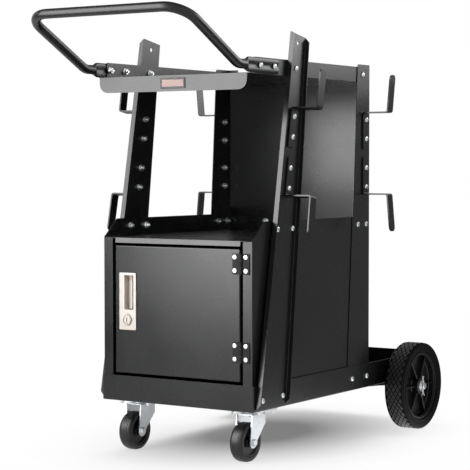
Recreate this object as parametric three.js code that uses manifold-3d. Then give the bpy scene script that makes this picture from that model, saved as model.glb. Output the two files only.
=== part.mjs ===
// Welding cart: a folded sheet-metal trolley with a lockable cabinet, an open shelf bay, a top tray,
// a gas-cylinder platform over the rear axle, eight cable hooks and a bent-tube push handle.
// Millimetres, +Z up, front towards -Y, floor at z = 0, origin under the middle of the whole cart.
import * as THREE from "three";
import { mergeVertices } from "three/addons/utils/BufferGeometryUtils.js";
import Module from "manifold-3d";

const wasm = await Module();
wasm.setup();

// Gaps between neighbours
const seatGap = 0.3; // pieces that are bolted or seated on each other
const runningGap = 0.4; // a turning piece and what carries it
const cornerRelief = 0.3; // flat left between the two round corners of a full round end

// Facets of round shapes
const roundSides = 16;
const smallRoundSides = 12;
const pinSides = 8;
const wheelSides = 32;
const casterSides = 24;
const lockSides = 20;
const arcSteps = 4; // steps of a rounded corner
const fineArcSteps = 6;
const bendSteps = 3; // steps of the handle's lower bend
const gripSteps = 6; // steps of the handle's bend into the grip

// Sheet metal
const panSheet = 1.5; // base, panels, shelf, tray and door
const frontPostSheet = 2;
const rearPostSheet = 1.5;

// Base tray
const baseWidth = 360;
const baseLength = 725;
const baseWall = 51; // height of the four walls, floor included

// Cabinet
const cabinetLength = 457; // base front to the back of the rear posts
const cabinetHeight = 326.3; // base underside to the shelf surface
const stileWidth = 21.5; // folded front edge of each side panel
const stileReturn = 15; // depth of the stile's inner fold
const upstand = 35.7; // shelf surface to the side panels' top
const upstandSlope = 41; // length of the slope at the front of the upstand
const shelfLip = 10.8; // shelf surface to the lower edge of its front lip

// Shelf bay and top tray
const bayHeight = 317.2; // shelf surface to the tray surface
const trayOverhang = 13.6; // base front to the tray's front lip
const trayLip = 31.5; // tray surface to the lower edge of the lip
const trayLipInset = 2.4; // tray side to the lip's end
const trayLipCorner = 22;
const trayWall = 30.5; // tray surface to the top of its walls
const trayWallSetback = 12; // base front to the front of the side walls
const badgeWidth = 58;
const badgeHeight = 21;
const badgeThickness = 1.5;
const badgeShift = 4; // badge centre to the right of the cart's middle

// Front posts: leaning channels that taper upwards, flanges outwards
const postFootRise = 5.5; // base underside to the post's lower end
const postFootFront = 6.6; // base front to the post's front edge at the foot
const postFootDepth = 108;
const postHeadFront = 138.7; // base front to the post's front edge at the head
const postHeadDepth = 57;
const postHeight = 724.5;
const postFlange = 10.5; // flange width, sheet included
const postFlangeChamfer = 9;
const postTopHole = 9; // diameter of the spare hole near the head
const postTopHoleDrop = 17; // head to that hole

// Rear posts: tapering angles, flange inwards behind the back panel
const rearPostFootDepth = 95;
const rearPostHeadDepth = 52;
const rearPostRise = 36; // tray surface to the post's top
const rearPostFlange = 25;
const rearPostCorner = 6;

// Push handle: one tube with flattened ends
const tubeDiameter = 19;
const flatHeight = 29;
const flatThickness = 5;
const flatRear = 88; // base front to the rear end of the flats
const flatRise = 14.7; // tray surface to the flats' centre line
const flatLead = 6.4; // tray lip to where the flats begin
const bendLead = 39.6; // tray lip to the lower bend
const handleReach = 175; // lower bend to the grip, forwards
const handleRise = 92.8; // lower bend to the grip, upwards
const bendRadius = 40;
const gripRadius = 46.5; // bend between arm and grip
const flatSquareness = 0.5; // exponent of the flats' section: 1 is an ellipse, smaller is squarer

// Handle bolts
const boltDiameter = 6;
const boltHead = 11;
const boltHeadCrown = 5.5; // diameter of the flat on top of the head
const boltHeadHeight = 3.6;
const boltGrip = 12; // shank below the head
const boltEnd = 17; // rear end of the flat to the rear bolt
const boltSpacing = 50;

// Cable hooks of flat bar
const hookWidth = 22;
const hookThickness = 3;
const hookPlate = 78; // length of the bolted leg
const hookReach = 60; // bolted face to the outside of the tine
const hookTine = 79;
const frontHookLean = THREE.MathUtils.degToRad(1); // tine outwards
const rearHookLean = THREE.MathUtils.degToRad(5);
const hookBend = 6; // outer bend radius
const upperHookDrop = 62.5; // tray surface to the upper hooks' arms
const lowerHookDrop = 236; // tray surface to the lower hooks' arms
const rearHookInset = 22; // back of the rear post to the hook's middle

// Rear axle and wheels
const wheelDiameter = 188;
const wheelWidth = 46;
const wheelGap = 11; // base side to the wheel
const tyreDepth = 22; // tread to rim
const tyreShoulder = 7;
const rimWall = 5;
const rimLipInset = 4; // tyre side to the rim's edge
const rimWeb = 6;
const hubWall = 11; // axle to the outside of the hub
const ribCount = 6;
const ribThickness = 5;
const ribInset = 6; // rim's edge to the ribs' outer edge
const axleDiameter = 14;
const axleInset = 132; // base rear to the axle
const axleOverhang = 7; // washer to the end of the axle
const washerWidth = 6;
const washerThickness = 2;
const spacerWall = 2;
const splitPinDiameter = 3.2;
const splitPinLength = 44;
const splitPinEye = 3.4; // radius of the pin's head
const bracketInset = 12; // base side to the bracket
const bracketThickness = 3;
const bracketLength = 226;
const bracketFlange = 28;
const bracketWall = 9; // axle to the bracket's lower edge
const bracketEdge = 3; // depth of the bracket's ends

// Swivel casters
const casterDiameter = 77.5;
const casterWidth = 28;
const casterTyreDepth = 11;
const casterShoulder = 5;
const casterSideInset = 47; // base side to the swivel axis
const casterFrontInset = 68; // base front to the swivel axis
const casterTrail = 23; // swivel axis to the wheel axle
const casterPlateWidth = 84;
const casterPlateLength = 64;
const casterPlateThickness = 3;
const raceDiameter = 42;
const raceHeight = 6.5;
const forkSheet = 3;
const forkSideGap = 1.5; // wheel to fork leg
const forkCrownFront = 26; // swivel axis to the crown's front edge
const forkCrownRear = 20;
const forkEyeRadius = 11;
const forkShoulder = 18; // crown underside to where the legs begin to narrow
const kingpinDiameter = 10;
const kingpinHead = 18;
const kingpinHeadHeight = 4;
const casterBoltDiameter = 8;
const casterBoltHead = 14;
const casterBoltHeadHeight = 5;
const casterHubWall = 5; // bolt to the outside of the hub boss

// Door, hinges, latch and lock
const doorGap = 5; // door to the base below and to the shelf lip above
const doorSideGap = 6.4; // door to the stiles
const doorDepth = 15;
const hingeHeight = 40;
const hingeLeaf = 1.6; // leaf thickness
const hingeLeafEdge = 19.4; // hinge axis to a leaf's outer edge
const knuckleDiameter = 7;
const hingePinDiameter = 3.2;
const upperHingeDrop = 28.5; // door top to the middle of the upper hinge
const lowerHingeRise = 57; // door bottom to the middle of the lower hinge
const latchWidth = 41.3;
const latchHeight = 113.7;
const latchThickness = 2.5;
const latchCorner = 1.5;
const latchInset = 32.3; // door's free edge to the latch's centre line
const latchRise = 143.5; // door bottom to the latch's middle
const pullWidth = 22;
const pullHeight = 68;
const pullDepth = 12; // depth of the finger recess behind the latch face
const pullWall = 1.5;
const pullRise = 17.5; // latch middle to the recess middle
const pullShift = 3.2; // latch centre line to the recess centre line, towards the hinges
const lockDrop = 36.5; // latch middle to the lock
const lockHead = 22;
const lockHeadHeight = 2.5;
const lockBarrel = 16;
const keySlotWidth = 2;
const keySlotHeight = 10;
const keySlotDepth = 1.5;
const camWidth = 14;
const camThickness = 2.5;
const camReach = 46; // lock axis to the cam's tip
const camSetback = 3; // door's folded edge to the cam

// Heights above the floor
const wheelRadius = wheelDiameter / 2;
const axleHeight = wheelRadius * Math.cos(Math.PI / wheelSides);
const spacerRadius = axleDiameter / 2 + seatGap + spacerWall;
const baseBottom = axleHeight + spacerRadius + seatGap;
const baseFloor = baseBottom + panSheet;
const baseTop = baseBottom + baseWall;
const shelfTop = baseBottom + cabinetHeight;
const shelfBottom = shelfTop - panSheet;
const upstandTop = shelfTop + upstand;
const trayTop = shelfTop + bayHeight;
const trayBottom = trayTop - panSheet;
const trayWallTop = trayTop + trayWall;

// Half widths, from the outside in
const baseHalf = baseWidth / 2;
const rearPostOuter = baseHalf - panSheet - seatGap;
const cabinetHalf = rearPostOuter - rearPostSheet - seatGap;
const cabinetInner = cabinetHalf - panSheet;
const stileInner = cabinetHalf - stileWidth;
const doorHalf = stileInner - doorSideGap;

// Places along the cart, from the base front
const cabinetFront = panSheet + seatGap;
const rearFlangeFront = cabinetLength - rearPostSheet;
const backPanelRear = rearFlangeFront - seatGap;
const backPanelFront = backPanelRear - panSheet;
const sidePanelRear = backPanelFront - seatGap;
const trayFront = -trayOverhang;
const gripY = trayFront - bendLead - handleReach;
const axleY = baseLength - axleInset;

const sides = [["left", -1], ["right", 1]];

// Shape helpers

// A closed geometry as a solid with its faces pointing out, which can be joined and cut.
function solidOf(geometry) {
  const bare = geometry.clone();
  bare.deleteAttribute("normal");
  bare.deleteAttribute("uv");
  const merged = mergeVertices(bare, 1e-4);
  const points = merged.attributes.position;
  const corner = [new THREE.Vector3(), new THREE.Vector3(), new THREE.Vector3()];
  const triangles = [];
  let volume = 0;
  for (let i = 0; i < merged.index.count; i += 3) {
    const [a, b, c] = [0, 1, 2].map((k) => merged.index.getX(i + k));
    if (a === b || b === c || c === a) continue;
    [a, b, c].forEach((vertex, k) => corner[k].fromBufferAttribute(points, vertex));
    volume += corner[0].dot(corner[1].clone().cross(corner[2]));
    triangles.push([a, b, c]);
  }
  const outward = triangles.map(([a, b, c]) => (volume < 0 ? [a, c, b] : [a, b, c]));
  const vertProperties = new Float32Array(points.array);
  const triVerts = new Uint32Array(outward.flat());
  return new wasm.Manifold(new wasm.Mesh({ numProp: 3, vertProperties, triVerts }));
}

function geometryOf(solid) {
  const mesh = solid.getMesh();
  const geometry = new THREE.BufferGeometry();
  geometry.setAttribute("position", new THREE.BufferAttribute(new Float32Array(mesh.vertProperties), 3));
  geometry.setIndex(new THREE.BufferAttribute(new Uint32Array(mesh.triVerts), 1));
  geometry.computeVertexNormals();
  return geometry;
}

const join = (...solids) => solids.reduce((whole, solid) => whole.add(solid));
const cut = (solid, ...tools) => tools.reduce((rest, tool) => rest.subtract(tool), solid);

// Puts the low and high sides of a unit solid, across one of its axes, at two places on that axis.
function spread(geometry, axis, [from, to]) {
  const points = geometry.attributes.position;
  for (let i = 0; i < points.count; i += 1) {
    points.setComponent(i, axis, points.getComponent(i, axis) > 0 ? to : from);
  }
}

// A block between two opposite corners, given in any order along each axis.
function block(...spans) {
  const geometry = new THREE.BoxGeometry(1, 1, 1);
  spans.forEach((span, axis) => spread(geometry, axis, span));
  return solidOf(geometry);
}

// A closed outline of points [u, v, corner radius].
function outline(points) {
  const shape = new THREE.Shape();
  points.forEach(([u, v, radius = 0], i) => {
    const corner = new THREE.Vector2(u, v);
    const toBefore = new THREE.Vector2(...points.at(i - 1)).sub(corner).normalize();
    const toAfter = new THREE.Vector2(...points[(i + 1) % points.length]).sub(corner).normalize();
    const tangent = radius / Math.tan(Math.acos(toBefore.dot(toAfter)) / 2);
    const start = corner.clone().addScaledVector(toBefore, tangent);
    const end = corner.clone().addScaledVector(toAfter, tangent);
    if (i === 0) shape.moveTo(start.x, start.y);
    else shape.lineTo(start.x, start.y);
    if (radius > 0) shape.quadraticCurveTo(u, v, end.x, end.y);
  });
  shape.closePath();
  return shape;
}

// Which world axes the outline's u and v and the thickness follow, for a plate across each axis.
const plateAxes = {
  x: ["y", "z", "x"],
  y: ["x", "z", "y"],
  z: ["x", "y", "z"],
};

// A flat plate: an outline in the plane across an axis, from one place on the axis to another.
function plate(axis, points, span, curveSegments = arcSteps) {
  const options = { depth: 1, bevelEnabled: false, curveSegments };
  const geometry = new THREE.ExtrudeGeometry(outline(points), options);
  spread(geometry, 2, span);
  const unit = { x: [1, 0, 0], y: [0, 1, 0], z: [0, 0, 1] };
  const basis = plateAxes[axis].map((name) => new THREE.Vector3(...unit[name]));
  geometry.applyMatrix4(new THREE.Matrix4().makeBasis(...basis));
  return solidOf(geometry);
}

// A turned solid: a profile of [radius, place along the axis], round an axis through a point.
function turned(axis, profile, [x, y, z], steps) {
  const closed = profile[0][0] > 0 ? [...profile, profile[0]] : profile;
  const points = closed.map(([radius, along]) => new THREE.Vector2(radius, along));
  const geometry = new THREE.LatheGeometry(points, steps, Math.PI / steps);
  if (axis === "x") geometry.rotateZ(-Math.PI / 2);
  if (axis === "z") geometry.rotateX(Math.PI / 2);
  geometry.translate(x, y, z);
  return solidOf(geometry);
}

function rod(axis, diameter, [from, to], centre, steps = roundSides) {
  const radius = diameter / 2;
  return turned(axis, [[0, from], [radius, from], [radius, to], [0, to]], centre, steps);
}

// Finishes and the scene graph

const finishes = {
  powderCoat: { color: 0x26272a, roughness: 0.45, metalness: 0.1 },
  zinc: { color: 0xb9bdc2, roughness: 0.3, metalness: 1 },
  nickel: { color: 0xcfcfcb, roughness: 0.35, metalness: 0.9 },
  rubber: { color: 0x1b1b1c, roughness: 0.85, metalness: 0 },
  plastic: { color: 0x202123, roughness: 0.55, metalness: 0 },
  badge: { color: 0xb98a88, roughness: 0.5, metalness: 0 },
};

const cart = new THREE.Group();

function addPiece(parent, name, solid, finish) {
  const mesh = new THREE.Mesh(geometryOf(solid), new THREE.MeshStandardMaterial(finishes[finish]));
  mesh.name = name;
  parent.add(mesh);
  return mesh;
}

// Base tray: a pan with four walls
function baseTray() {
  const pan = block([-baseHalf, baseHalf], [0, baseLength], [baseBottom, baseTop]);
  const inner = baseHalf - panSheet;
  const hollow = block([-inner, inner], [panSheet, baseLength - panSheet], [baseFloor, baseTop + panSheet]);
  return cut(pan, hollow);
}

// Outline of a cabinet side above the shelf line, sloped at the front, from a given height up.
function upstandOutline(bottom, top, rear) {
  return [
    [cabinetFront, bottom],
    [rear, bottom],
    [rear, top],
    [cabinetFront + upstandSlope, top],
    [cabinetFront, shelfTop],
  ];
}

function sidePanel(side) {
  const bottom = baseFloor + seatGap;
  const stileTop = shelfBottom - seatGap;
  const face = upstandOutline(bottom, upstandTop, sidePanelRear);
  const wall = plate("x", face, [side * cabinetInner, side * cabinetHalf]);
  const stile = block(
    [side * stileInner, side * cabinetHalf],
    [cabinetFront, cabinetFront + panSheet],
    [bottom, stileTop],
  );
  const fold = block(
    [side * stileInner, side * (stileInner + panSheet)],
    [cabinetFront, cabinetFront + stileReturn],
    [bottom, stileTop],
  );
  return join(wall, stile, fold);
}

function backPanel() {
  const levels = [baseFloor + seatGap, trayBottom - seatGap];
  return block([-cabinetHalf, cabinetHalf], [backPanelFront, backPanelRear], levels);
}

// Shelf: floor, rear and side upstands inside the cabinet walls, and a front lip as wide as the door
function shelfTray() {
  const half = cabinetInner - seatGap;
  const rear = backPanelFront - seatGap;
  const floor = block([-half, half], [cabinetFront, rear], [shelfBottom, shelfTop]);
  const lip = block(
    [-doorHalf, doorHalf],
    [cabinetFront, cabinetFront + panSheet],
    [shelfTop - shelfLip, shelfTop],
  );
  const back = block([-half, half], [rear - panSheet, rear], [shelfBottom, upstandTop]);
  const walls = sides.map(([, side]) =>
    plate("x", upstandOutline(shelfBottom, upstandTop, rear), [side * (half - panSheet), side * half]),
  );
  return join(floor, lip, back, ...walls);
}

// Handle bolts go through each flat of the handle and the tray wall behind it.
const rearBoltY = flatRear - boltEnd;
const handleBoltLevel = trayTop + flatRise;
const handleBolts = [["rear", rearBoltY], ["front", rearBoltY - boltSpacing]];

// Bores for the handle bolts of both sides, between two distances from the cart's middle.
function handleBores(from, to) {
  return sides.flatMap(([, side]) =>
    handleBolts.map(([, y]) => {
      const centre = [0, y, handleBoltLevel];
      return rod("x", boltDiameter + 2 * seatGap, [side * from, side * to], centre, smallRoundSides);
    }),
  );
}

// Top tray: floor, rear and side walls, and a deep front lip with rounded lower corners
function topTray() {
  const lipHalf = cabinetHalf - trayLipInset;
  const floor = block([-cabinetHalf, cabinetHalf], [trayFront, backPanelRear], [trayBottom, trayTop]);
  const lipOutline = [
    [-lipHalf, trayTop],
    [-lipHalf, trayTop - trayLip, trayLipCorner],
    [lipHalf, trayTop - trayLip, trayLipCorner],
    [lipHalf, trayTop],
  ];
  const lip = plate("y", lipOutline, [trayFront, trayFront + panSheet], fineArcSteps);
  const levels = [trayBottom, trayWallTop];
  const back = block([-cabinetHalf, cabinetHalf], [backPanelRear - panSheet, backPanelRear], levels);
  const walls = sides.map(([, side]) =>
    block([side * (cabinetHalf - panSheet), side * cabinetHalf], [trayWallSetback, backPanelRear], levels),
  );
  const bores = handleBores(cabinetHalf - 2 * panSheet, cabinetHalf + panSheet);
  return cut(join(floor, lip, back, ...walls), ...bores);
}

function badgePlate() {
  const face = trayFront - seatGap;
  const middle = trayTop - trayLip / 2;
  return block(
    [badgeShift - badgeWidth / 2, badgeShift + badgeWidth / 2],
    [face - badgeThickness, face],
    [middle - badgeHeight / 2, middle + badgeHeight / 2],
  );
}

// Front posts stand outside the base and lean in to meet the tray walls. Each is drawn upright in a
// group whose origin is on the post's inner face, level with the top of the base wall.
const postTilt = Math.atan((baseHalf - cabinetHalf) / (trayWallTop - baseTop));
const postFoot = baseBottom + postFootRise - baseTop;
const postRun = postHeadFront - postFootFront;
const postRake = Math.atan(postRun / postHeight);
const postCorners = {
  footFront: new THREE.Vector2(postFootFront, postFoot),
  footRear: new THREE.Vector2(postFootFront + postFootDepth, postFoot),
  headFront: new THREE.Vector2(postHeadFront, postFoot + postHeight),
  headRear: new THREE.Vector2(
    postHeadFront + postHeadDepth * Math.cos(postRake),
    postFoot + postHeight - postHeadDepth * Math.sin(postRake),
  ),
};
const postFootMiddle = postCorners.footFront.clone().lerp(postCorners.footRear, 0.5);
const postHeadMiddle = postCorners.headFront.clone().lerp(postCorners.headRear, 0.5);
const postAxis = postHeadMiddle.clone().sub(postFootMiddle).normalize();

// Point on the post's centre line at a height above the floor, in the post's own group.
function postMiddle(height) {
  const level = height - baseTop;
  const share = (level - postFootMiddle.y) / (postHeadMiddle.y - postFootMiddle.y);
  return postFootMiddle.clone().lerp(postHeadMiddle, share);
}

// A post flange: a strip along one edge of the web, standing outwards, with chamfered ends.
function postFlangeStrip(side, foot, head, inward) {
  const along = head.clone().sub(foot);
  const length = along.length();
  const strip = outline([
    [0, 0],
    [length, 0],
    [length, postFlange - postFlangeChamfer],
    [length - postFlangeChamfer, postFlange],
    [postFlangeChamfer, postFlange],
    [0, postFlange - postFlangeChamfer],
  ]);
  const geometry = new THREE.ExtrudeGeometry(strip, { depth: frontPostSheet, bevelEnabled: false });
  const direction = new THREE.Vector3(0, along.x, along.y).normalize();
  const outward = new THREE.Vector3(side, 0, 0);
  const thickness = new THREE.Vector3(0, inward * direction.z, -inward * direction.y);
  geometry.applyMatrix4(new THREE.Matrix4().makeBasis(direction, outward, thickness));
  geometry.translate(0, foot.x, foot.y);
  return solidOf(geometry);
}

function frontPost(side) {
  const { footFront, footRear, headFront, headRear } = postCorners;
  const corners = [footFront, footRear, headRear, headFront].map((corner) => corner.toArray());
  const web = plate("x", corners, [0, side * frontPostSheet]);
  const front = postFlangeStrip(side, footFront, headFront, 1);
  const rear = postFlangeStrip(side, footRear, headRear, -1);
  const spot = postHeadMiddle.clone().addScaledVector(postAxis, -postTopHoleDrop);
  const holeEnds = [-2 * frontPostSheet, 2 * frontPostSheet];
  const hole = rod("x", postTopHole, holeEnds, [0, spot.x, spot.y], smallRoundSides);
  return cut(join(web, front, rear), hole);
}

function rearPost(side) {
  const bottom = baseFloor + seatGap;
  const top = trayTop + rearPostRise;
  const web = [
    [cabinetLength, bottom],
    [cabinetLength, top],
    [cabinetLength - rearPostHeadDepth, top, rearPostCorner],
    [cabinetLength - rearPostFootDepth, bottom],
  ];
  const flange = block(
    [side * (rearPostOuter - rearPostFlange), side * rearPostOuter],
    [rearFlangeFront, cabinetLength],
    [bottom, top],
  );
  return join(plate("x", web, [side * (rearPostOuter - rearPostSheet), side * rearPostOuter]), flange);
}

// Push handle: rings of points along the tube's path, joined into one closed skin. The right half runs
// from the flat's rear end over the lower bend and the arm to the grip, and the left half mirrors it.
function pushHandle() {
  const flatX = cabinetHalf + seatGap + flatThickness / 2;
  const bendY = trayFront - bendLead;
  const armAngle = Math.atan2(handleRise, handleReach);
  const armLength = Math.hypot(handleReach, handleRise);
  const round = { tall: tubeDiameter / 2, thin: tubeDiameter / 2, power: 1 };
  const flat = { tall: flatHeight / 2, thin: flatThickness / 2, power: flatSquareness };
  const stations = [];

  // A station is a point, the angle of the path above the horizontal and a cross-section.
  for (const y of [flatRear, trayFront - flatLead]) {
    stations.push({ place: [flatX, y, handleBoltLevel], angle: 0, turn: 0, section: flat });
  }

  const bendTangent = bendRadius * Math.tan(armAngle / 2);
  for (let i = 0; i <= bendSteps; i += 1) {
    const angle = (armAngle * i) / bendSteps;
    const y = bendY + bendTangent - bendRadius * Math.sin(angle);
    const z = handleBoltLevel + bendRadius * (1 - Math.cos(angle));
    stations.push({ place: [flatX, y, z], angle, turn: 0, section: round });
  }

  for (let i = 0; i <= gripSteps; i += 1) {
    const turn = (Math.PI / 2) * (i / gripSteps);
    const along = armLength - gripRadius * (1 - Math.sin(turn));
    const x = flatX - gripRadius * (1 - Math.cos(turn));
    const y = bendY - along * Math.cos(armAngle);
    const z = handleBoltLevel + along * Math.sin(armAngle);
    stations.push({ place: [x, y, z], angle: armAngle, turn, section: round });
  }

  const mirrored = stations.map(({ place: [x, y, z], angle, turn, section }) => ({
    place: [-x, y, z],
    angle,
    turn: Math.PI - turn,
    section,
  }));
  const path = [...stations, ...mirrored.reverse()];

  const vertices = [];
  for (const { place, angle, turn, section } of path) {
    const up = new THREE.Vector3(0, Math.sin(angle), Math.cos(angle));
    const forward = new THREE.Vector3(0, -Math.cos(angle), Math.sin(angle));
    const across = new THREE.Vector3(Math.cos(turn), 0, 0).addScaledVector(forward, Math.sin(turn));
    for (let k = 0; k < smallRoundSides; k += 1) {
      const around = (2 * Math.PI * (k + 0.5)) / smallRoundSides;
      const [c, s] = [Math.cos(around), Math.sin(around)];
      const bulge = (value) => Math.sign(value) * Math.abs(value) ** section.power;
      const point = new THREE.Vector3(...place);
      point.addScaledVector(across, section.thin * bulge(c));
      point.addScaledVector(up, section.tall * bulge(s));
      vertices.push(point.x, point.y, point.z);
    }
  }

  const index = [];
  const last = (path.length - 1) * smallRoundSides;
  for (let ring = 0; ring < last; ring += smallRoundSides) {
    for (let k = 0; k < smallRoundSides; k += 1) {
      const [a, b] = [ring + k, ring + (k + 1) % smallRoundSides];
      const [c, d] = [b + smallRoundSides, a + smallRoundSides];
      index.push(a, b, c, a, c, d);
    }
  }
  for (let k = 1; k < smallRoundSides - 1; k += 1) {
    index.push(0, k + 1, k);
    index.push(last, last + k, last + k + 1);
  }
  const geometry = new THREE.BufferGeometry();
  geometry.setAttribute("position", new THREE.Float32BufferAttribute(vertices, 3));
  geometry.setIndex(index);
  return cut(solidOf(geometry), ...handleBores(cabinetHalf, cabinetHalf + 2 * flatThickness));
}

function handleBolt(side, y) {
  const head = cabinetHalf + seatGap + flatThickness + seatGap;
  const profile = [
    [0, head - boltGrip],
    [boltDiameter / 2, head - boltGrip],
    [boltDiameter / 2, head],
    [boltHead / 2, head],
    [boltHead / 2, head + boltHeadHeight / 2],
    [boltHeadCrown / 2, head + boltHeadHeight],
    [0, head + boltHeadHeight],
  ];
  const placed = profile.map(([radius, along]) => [radius, side * along]);
  return turned("x", placed, [0, y, handleBoltLevel], smallRoundSides);
}

// A cable hook, drawn with its bolted face at x = 0 and the top of its arm at z = 0. The bar runs up
// the post, outwards and up again, and the tine has a round end.
function cableHook(side, lean) {
  const inner = hookBend - hookThickness;
  const shift = hookTine * Math.sin(lean);
  const tip = hookTine * Math.cos(lean) - hookThickness;
  const bar = [
    [0, -hookPlate],
    [hookThickness, -hookPlate],
    [hookThickness, -hookThickness, inner],
    [hookReach, -hookThickness, hookBend],
    [hookReach + shift, tip],
    [hookReach - hookThickness + shift, tip],
    [hookReach - hookThickness, 0, inner],
    [0, 0, hookBend],
  ];
  const half = hookWidth / 2;
  const face = [
    [-half, -hookPlate],
    [half, -hookPlate],
    [half, tip, half - cornerRelief],
    [-half, tip, half - cornerRelief],
  ];
  const strip = plate("y", bar.map(([u, v, radius]) => [side * u, v, radius]), [-half, half]);
  const ends = plate("x", face, [-side * hookThickness, side * (hookReach + shift + hookThickness)]);
  return strip.intersect(ends);
}

// Hooks of one post: upper ones open upwards, lower ones hang upside down.
const hookLevels = [
  ["upper", trayTop - upperHookDrop, 0],
  ["lower", trayTop - lowerHookDrop, Math.PI],
];

// Rear axle with its cross holes for the split pins
const axleRadius = axleDiameter / 2;
const wheelInner = baseHalf + wheelGap;
const hubOuter = wheelInner + wheelWidth - rimLipInset;
const washerOuter = hubOuter + runningGap + washerThickness;
const splitPinX = washerOuter + seatGap + splitPinDiameter / 2;
const axleEnd = washerOuter + axleOverhang;

function rearAxle() {
  const bar = rod("x", axleDiameter, [-axleEnd, axleEnd], [0, axleY, axleHeight]);
  const bores = sides.map(([, side]) => {
    const centre = [side * splitPinX, axleY, axleHeight];
    return rod("z", splitPinDiameter + 2 * seatGap, [-axleDiameter, axleDiameter], centre, pinSides);
  });
  return cut(bar, ...bores);
}

// A ring round the axle, between two places on it.
function axleRing(side, outerRadius, boreGap, [from, to]) {
  const bore = axleRadius + boreGap;
  const profile = [[bore, from], [outerRadius, from], [outerRadius, to], [bore, to]];
  const placed = profile.map(([radius, along]) => [radius, side * along]);
  return turned("x", placed, [0, axleY, axleHeight], roundSides);
}

function splitPin(side) {
  const radius = splitPinDiameter / 2;
  const half = splitPinLength / 2;
  const profile = [
    [0, -half],
    [radius, -half],
    [radius, half - 2 * splitPinEye],
    [splitPinEye, half - splitPinEye],
    [radius, half],
    [0, half],
  ];
  return turned("z", profile, [side * splitPinX, axleY, axleHeight], pinSides);
}

// Axle bracket: a hanging plate with an eye for the axle, and a flange against the base underside
const bracketOuter = baseHalf - bracketInset;

function axleBracket(side) {
  const top = baseBottom - seatGap;
  const eye = axleRadius + bracketWall;
  const ends = bracketLength / 2;
  const face = [
    [axleY - ends, top],
    [axleY - ends, top - bracketEdge],
    [axleY - eye, axleHeight],
    [axleY - eye, axleHeight - eye, eye - cornerRelief],
    [axleY + eye, axleHeight - eye, eye - cornerRelief],
    [axleY + eye, axleHeight],
    [axleY + ends, top - bracketEdge],
    [axleY + ends, top],
  ];
  const hanging = plate("x", face, [side * (bracketOuter - bracketThickness), side * bracketOuter]);
  const flange = block(
    [side * (bracketOuter - bracketFlange), side * bracketOuter],
    [axleY - ends, axleY + ends],
    [top - bracketEdge, top],
  );
  const bore = rod("x", axleDiameter + 2 * seatGap, [-baseHalf, baseHalf], [0, axleY, axleHeight]);
  // The flange is relieved over the axle, which runs close under the base.
  return cut(join(hanging, flange), bore);
}

// Rear wheels: a tyre on a dished rim with ribs on its outer side
const rimRadius = wheelRadius - tyreDepth;

function wheelTyre(side) {
  const bead = rimRadius + seatGap;
  const profile = [
    [bead, tyreShoulder / 2],
    [bead + tyreShoulder, 0],
    [wheelRadius - tyreShoulder, 0],
    [wheelRadius, tyreShoulder],
    [wheelRadius, wheelWidth - tyreShoulder],
    [wheelRadius - tyreShoulder, wheelWidth],
    [bead + tyreShoulder, wheelWidth],
    [bead, wheelWidth - tyreShoulder / 2],
  ];
  const placed = profile.map(([radius, along]) => [radius, side * (wheelInner + along)]);
  return turned("x", placed, [0, axleY, axleHeight], wheelSides);
}

function wheelRim(side) {
  const bore = axleRadius + runningGap;
  const hub = axleRadius + hubWall;
  const barrel = rimRadius - rimWall;
  const webInner = (wheelWidth - rimWeb) / 2;
  const webOuter = webInner + rimWeb;
  const outer = wheelWidth - rimLipInset;
  const profile = [
    [bore, 0],
    [hub, 0],
    [hub, webInner],
    [barrel, webInner],
    [barrel, rimLipInset],
    [rimRadius, rimLipInset],
    [rimRadius, outer],
    [barrel, outer],
    [barrel, webOuter],
    [hub, webOuter],
    [hub, outer],
    [bore, outer],
  ];
  const placed = profile.map(([radius, along]) => [radius, side * (wheelInner + along)]);
  const ribs = Array.from({ length: ribCount }, (_, i) => {
    const ribOuter = outer - ribInset;
    const geometry = new THREE.BoxGeometry(ribOuter - webInner, barrel - hub + rimWall, ribThickness);
    const middle = wheelInner + (ribOuter + webInner) / 2;
    geometry.translate(side * middle, (barrel + hub) / 2, 0);
    geometry.rotateX((2 * Math.PI * i) / ribCount);
    geometry.translate(0, axleY, axleHeight);
    return solidOf(geometry);
  });
  return join(turned("x", placed, [0, axleY, axleHeight], wheelSides), ...ribs);
}

// Swivel casters, drawn in a group whose origin is on the swivel axis at floor level
const casterRadius = casterDiameter / 2;
const casterAxleHeight = casterRadius * Math.cos(Math.PI / casterSides);
const casterPlateTop = baseBottom - seatGap;
const casterPlateBottom = casterPlateTop - casterPlateThickness;
const raceBottom = casterPlateBottom - raceHeight;
const crownTop = raceBottom - runningGap;
const crownBottom = crownTop - forkSheet;
const forkInner = casterWidth / 2 + forkSideGap;
const forkOuter = forkInner + forkSheet;
const casterAxle = [0, -casterTrail, casterAxleHeight];

function casterPlate() {
  const [halfWidth, halfLength] = [casterPlateWidth / 2, casterPlateLength / 2];
  const levels = [casterPlateBottom, casterPlateTop];
  const flat = block([-halfWidth, halfWidth], [-halfLength, halfLength], levels);
  const race = rod("z", raceDiameter, [raceBottom, casterPlateTop], [0, 0, 0], casterSides);
  const bore = rod("z", kingpinDiameter + 2 * seatGap, [0, baseTop], [0, 0, 0]);
  return cut(join(flat, race), bore);
}

function casterKingpin() {
  const headTop = crownBottom - runningGap;
  const headBottom = headTop - kingpinHeadHeight;
  const profile = [
    [0, headBottom],
    [kingpinHead / 2, headBottom],
    [kingpinHead / 2, headTop],
    [kingpinDiameter / 2, headTop],
    [kingpinDiameter / 2, casterPlateTop],
    [0, casterPlateTop],
  ];
  return turned("z", profile, [0, 0, 0], roundSides);
}

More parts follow.
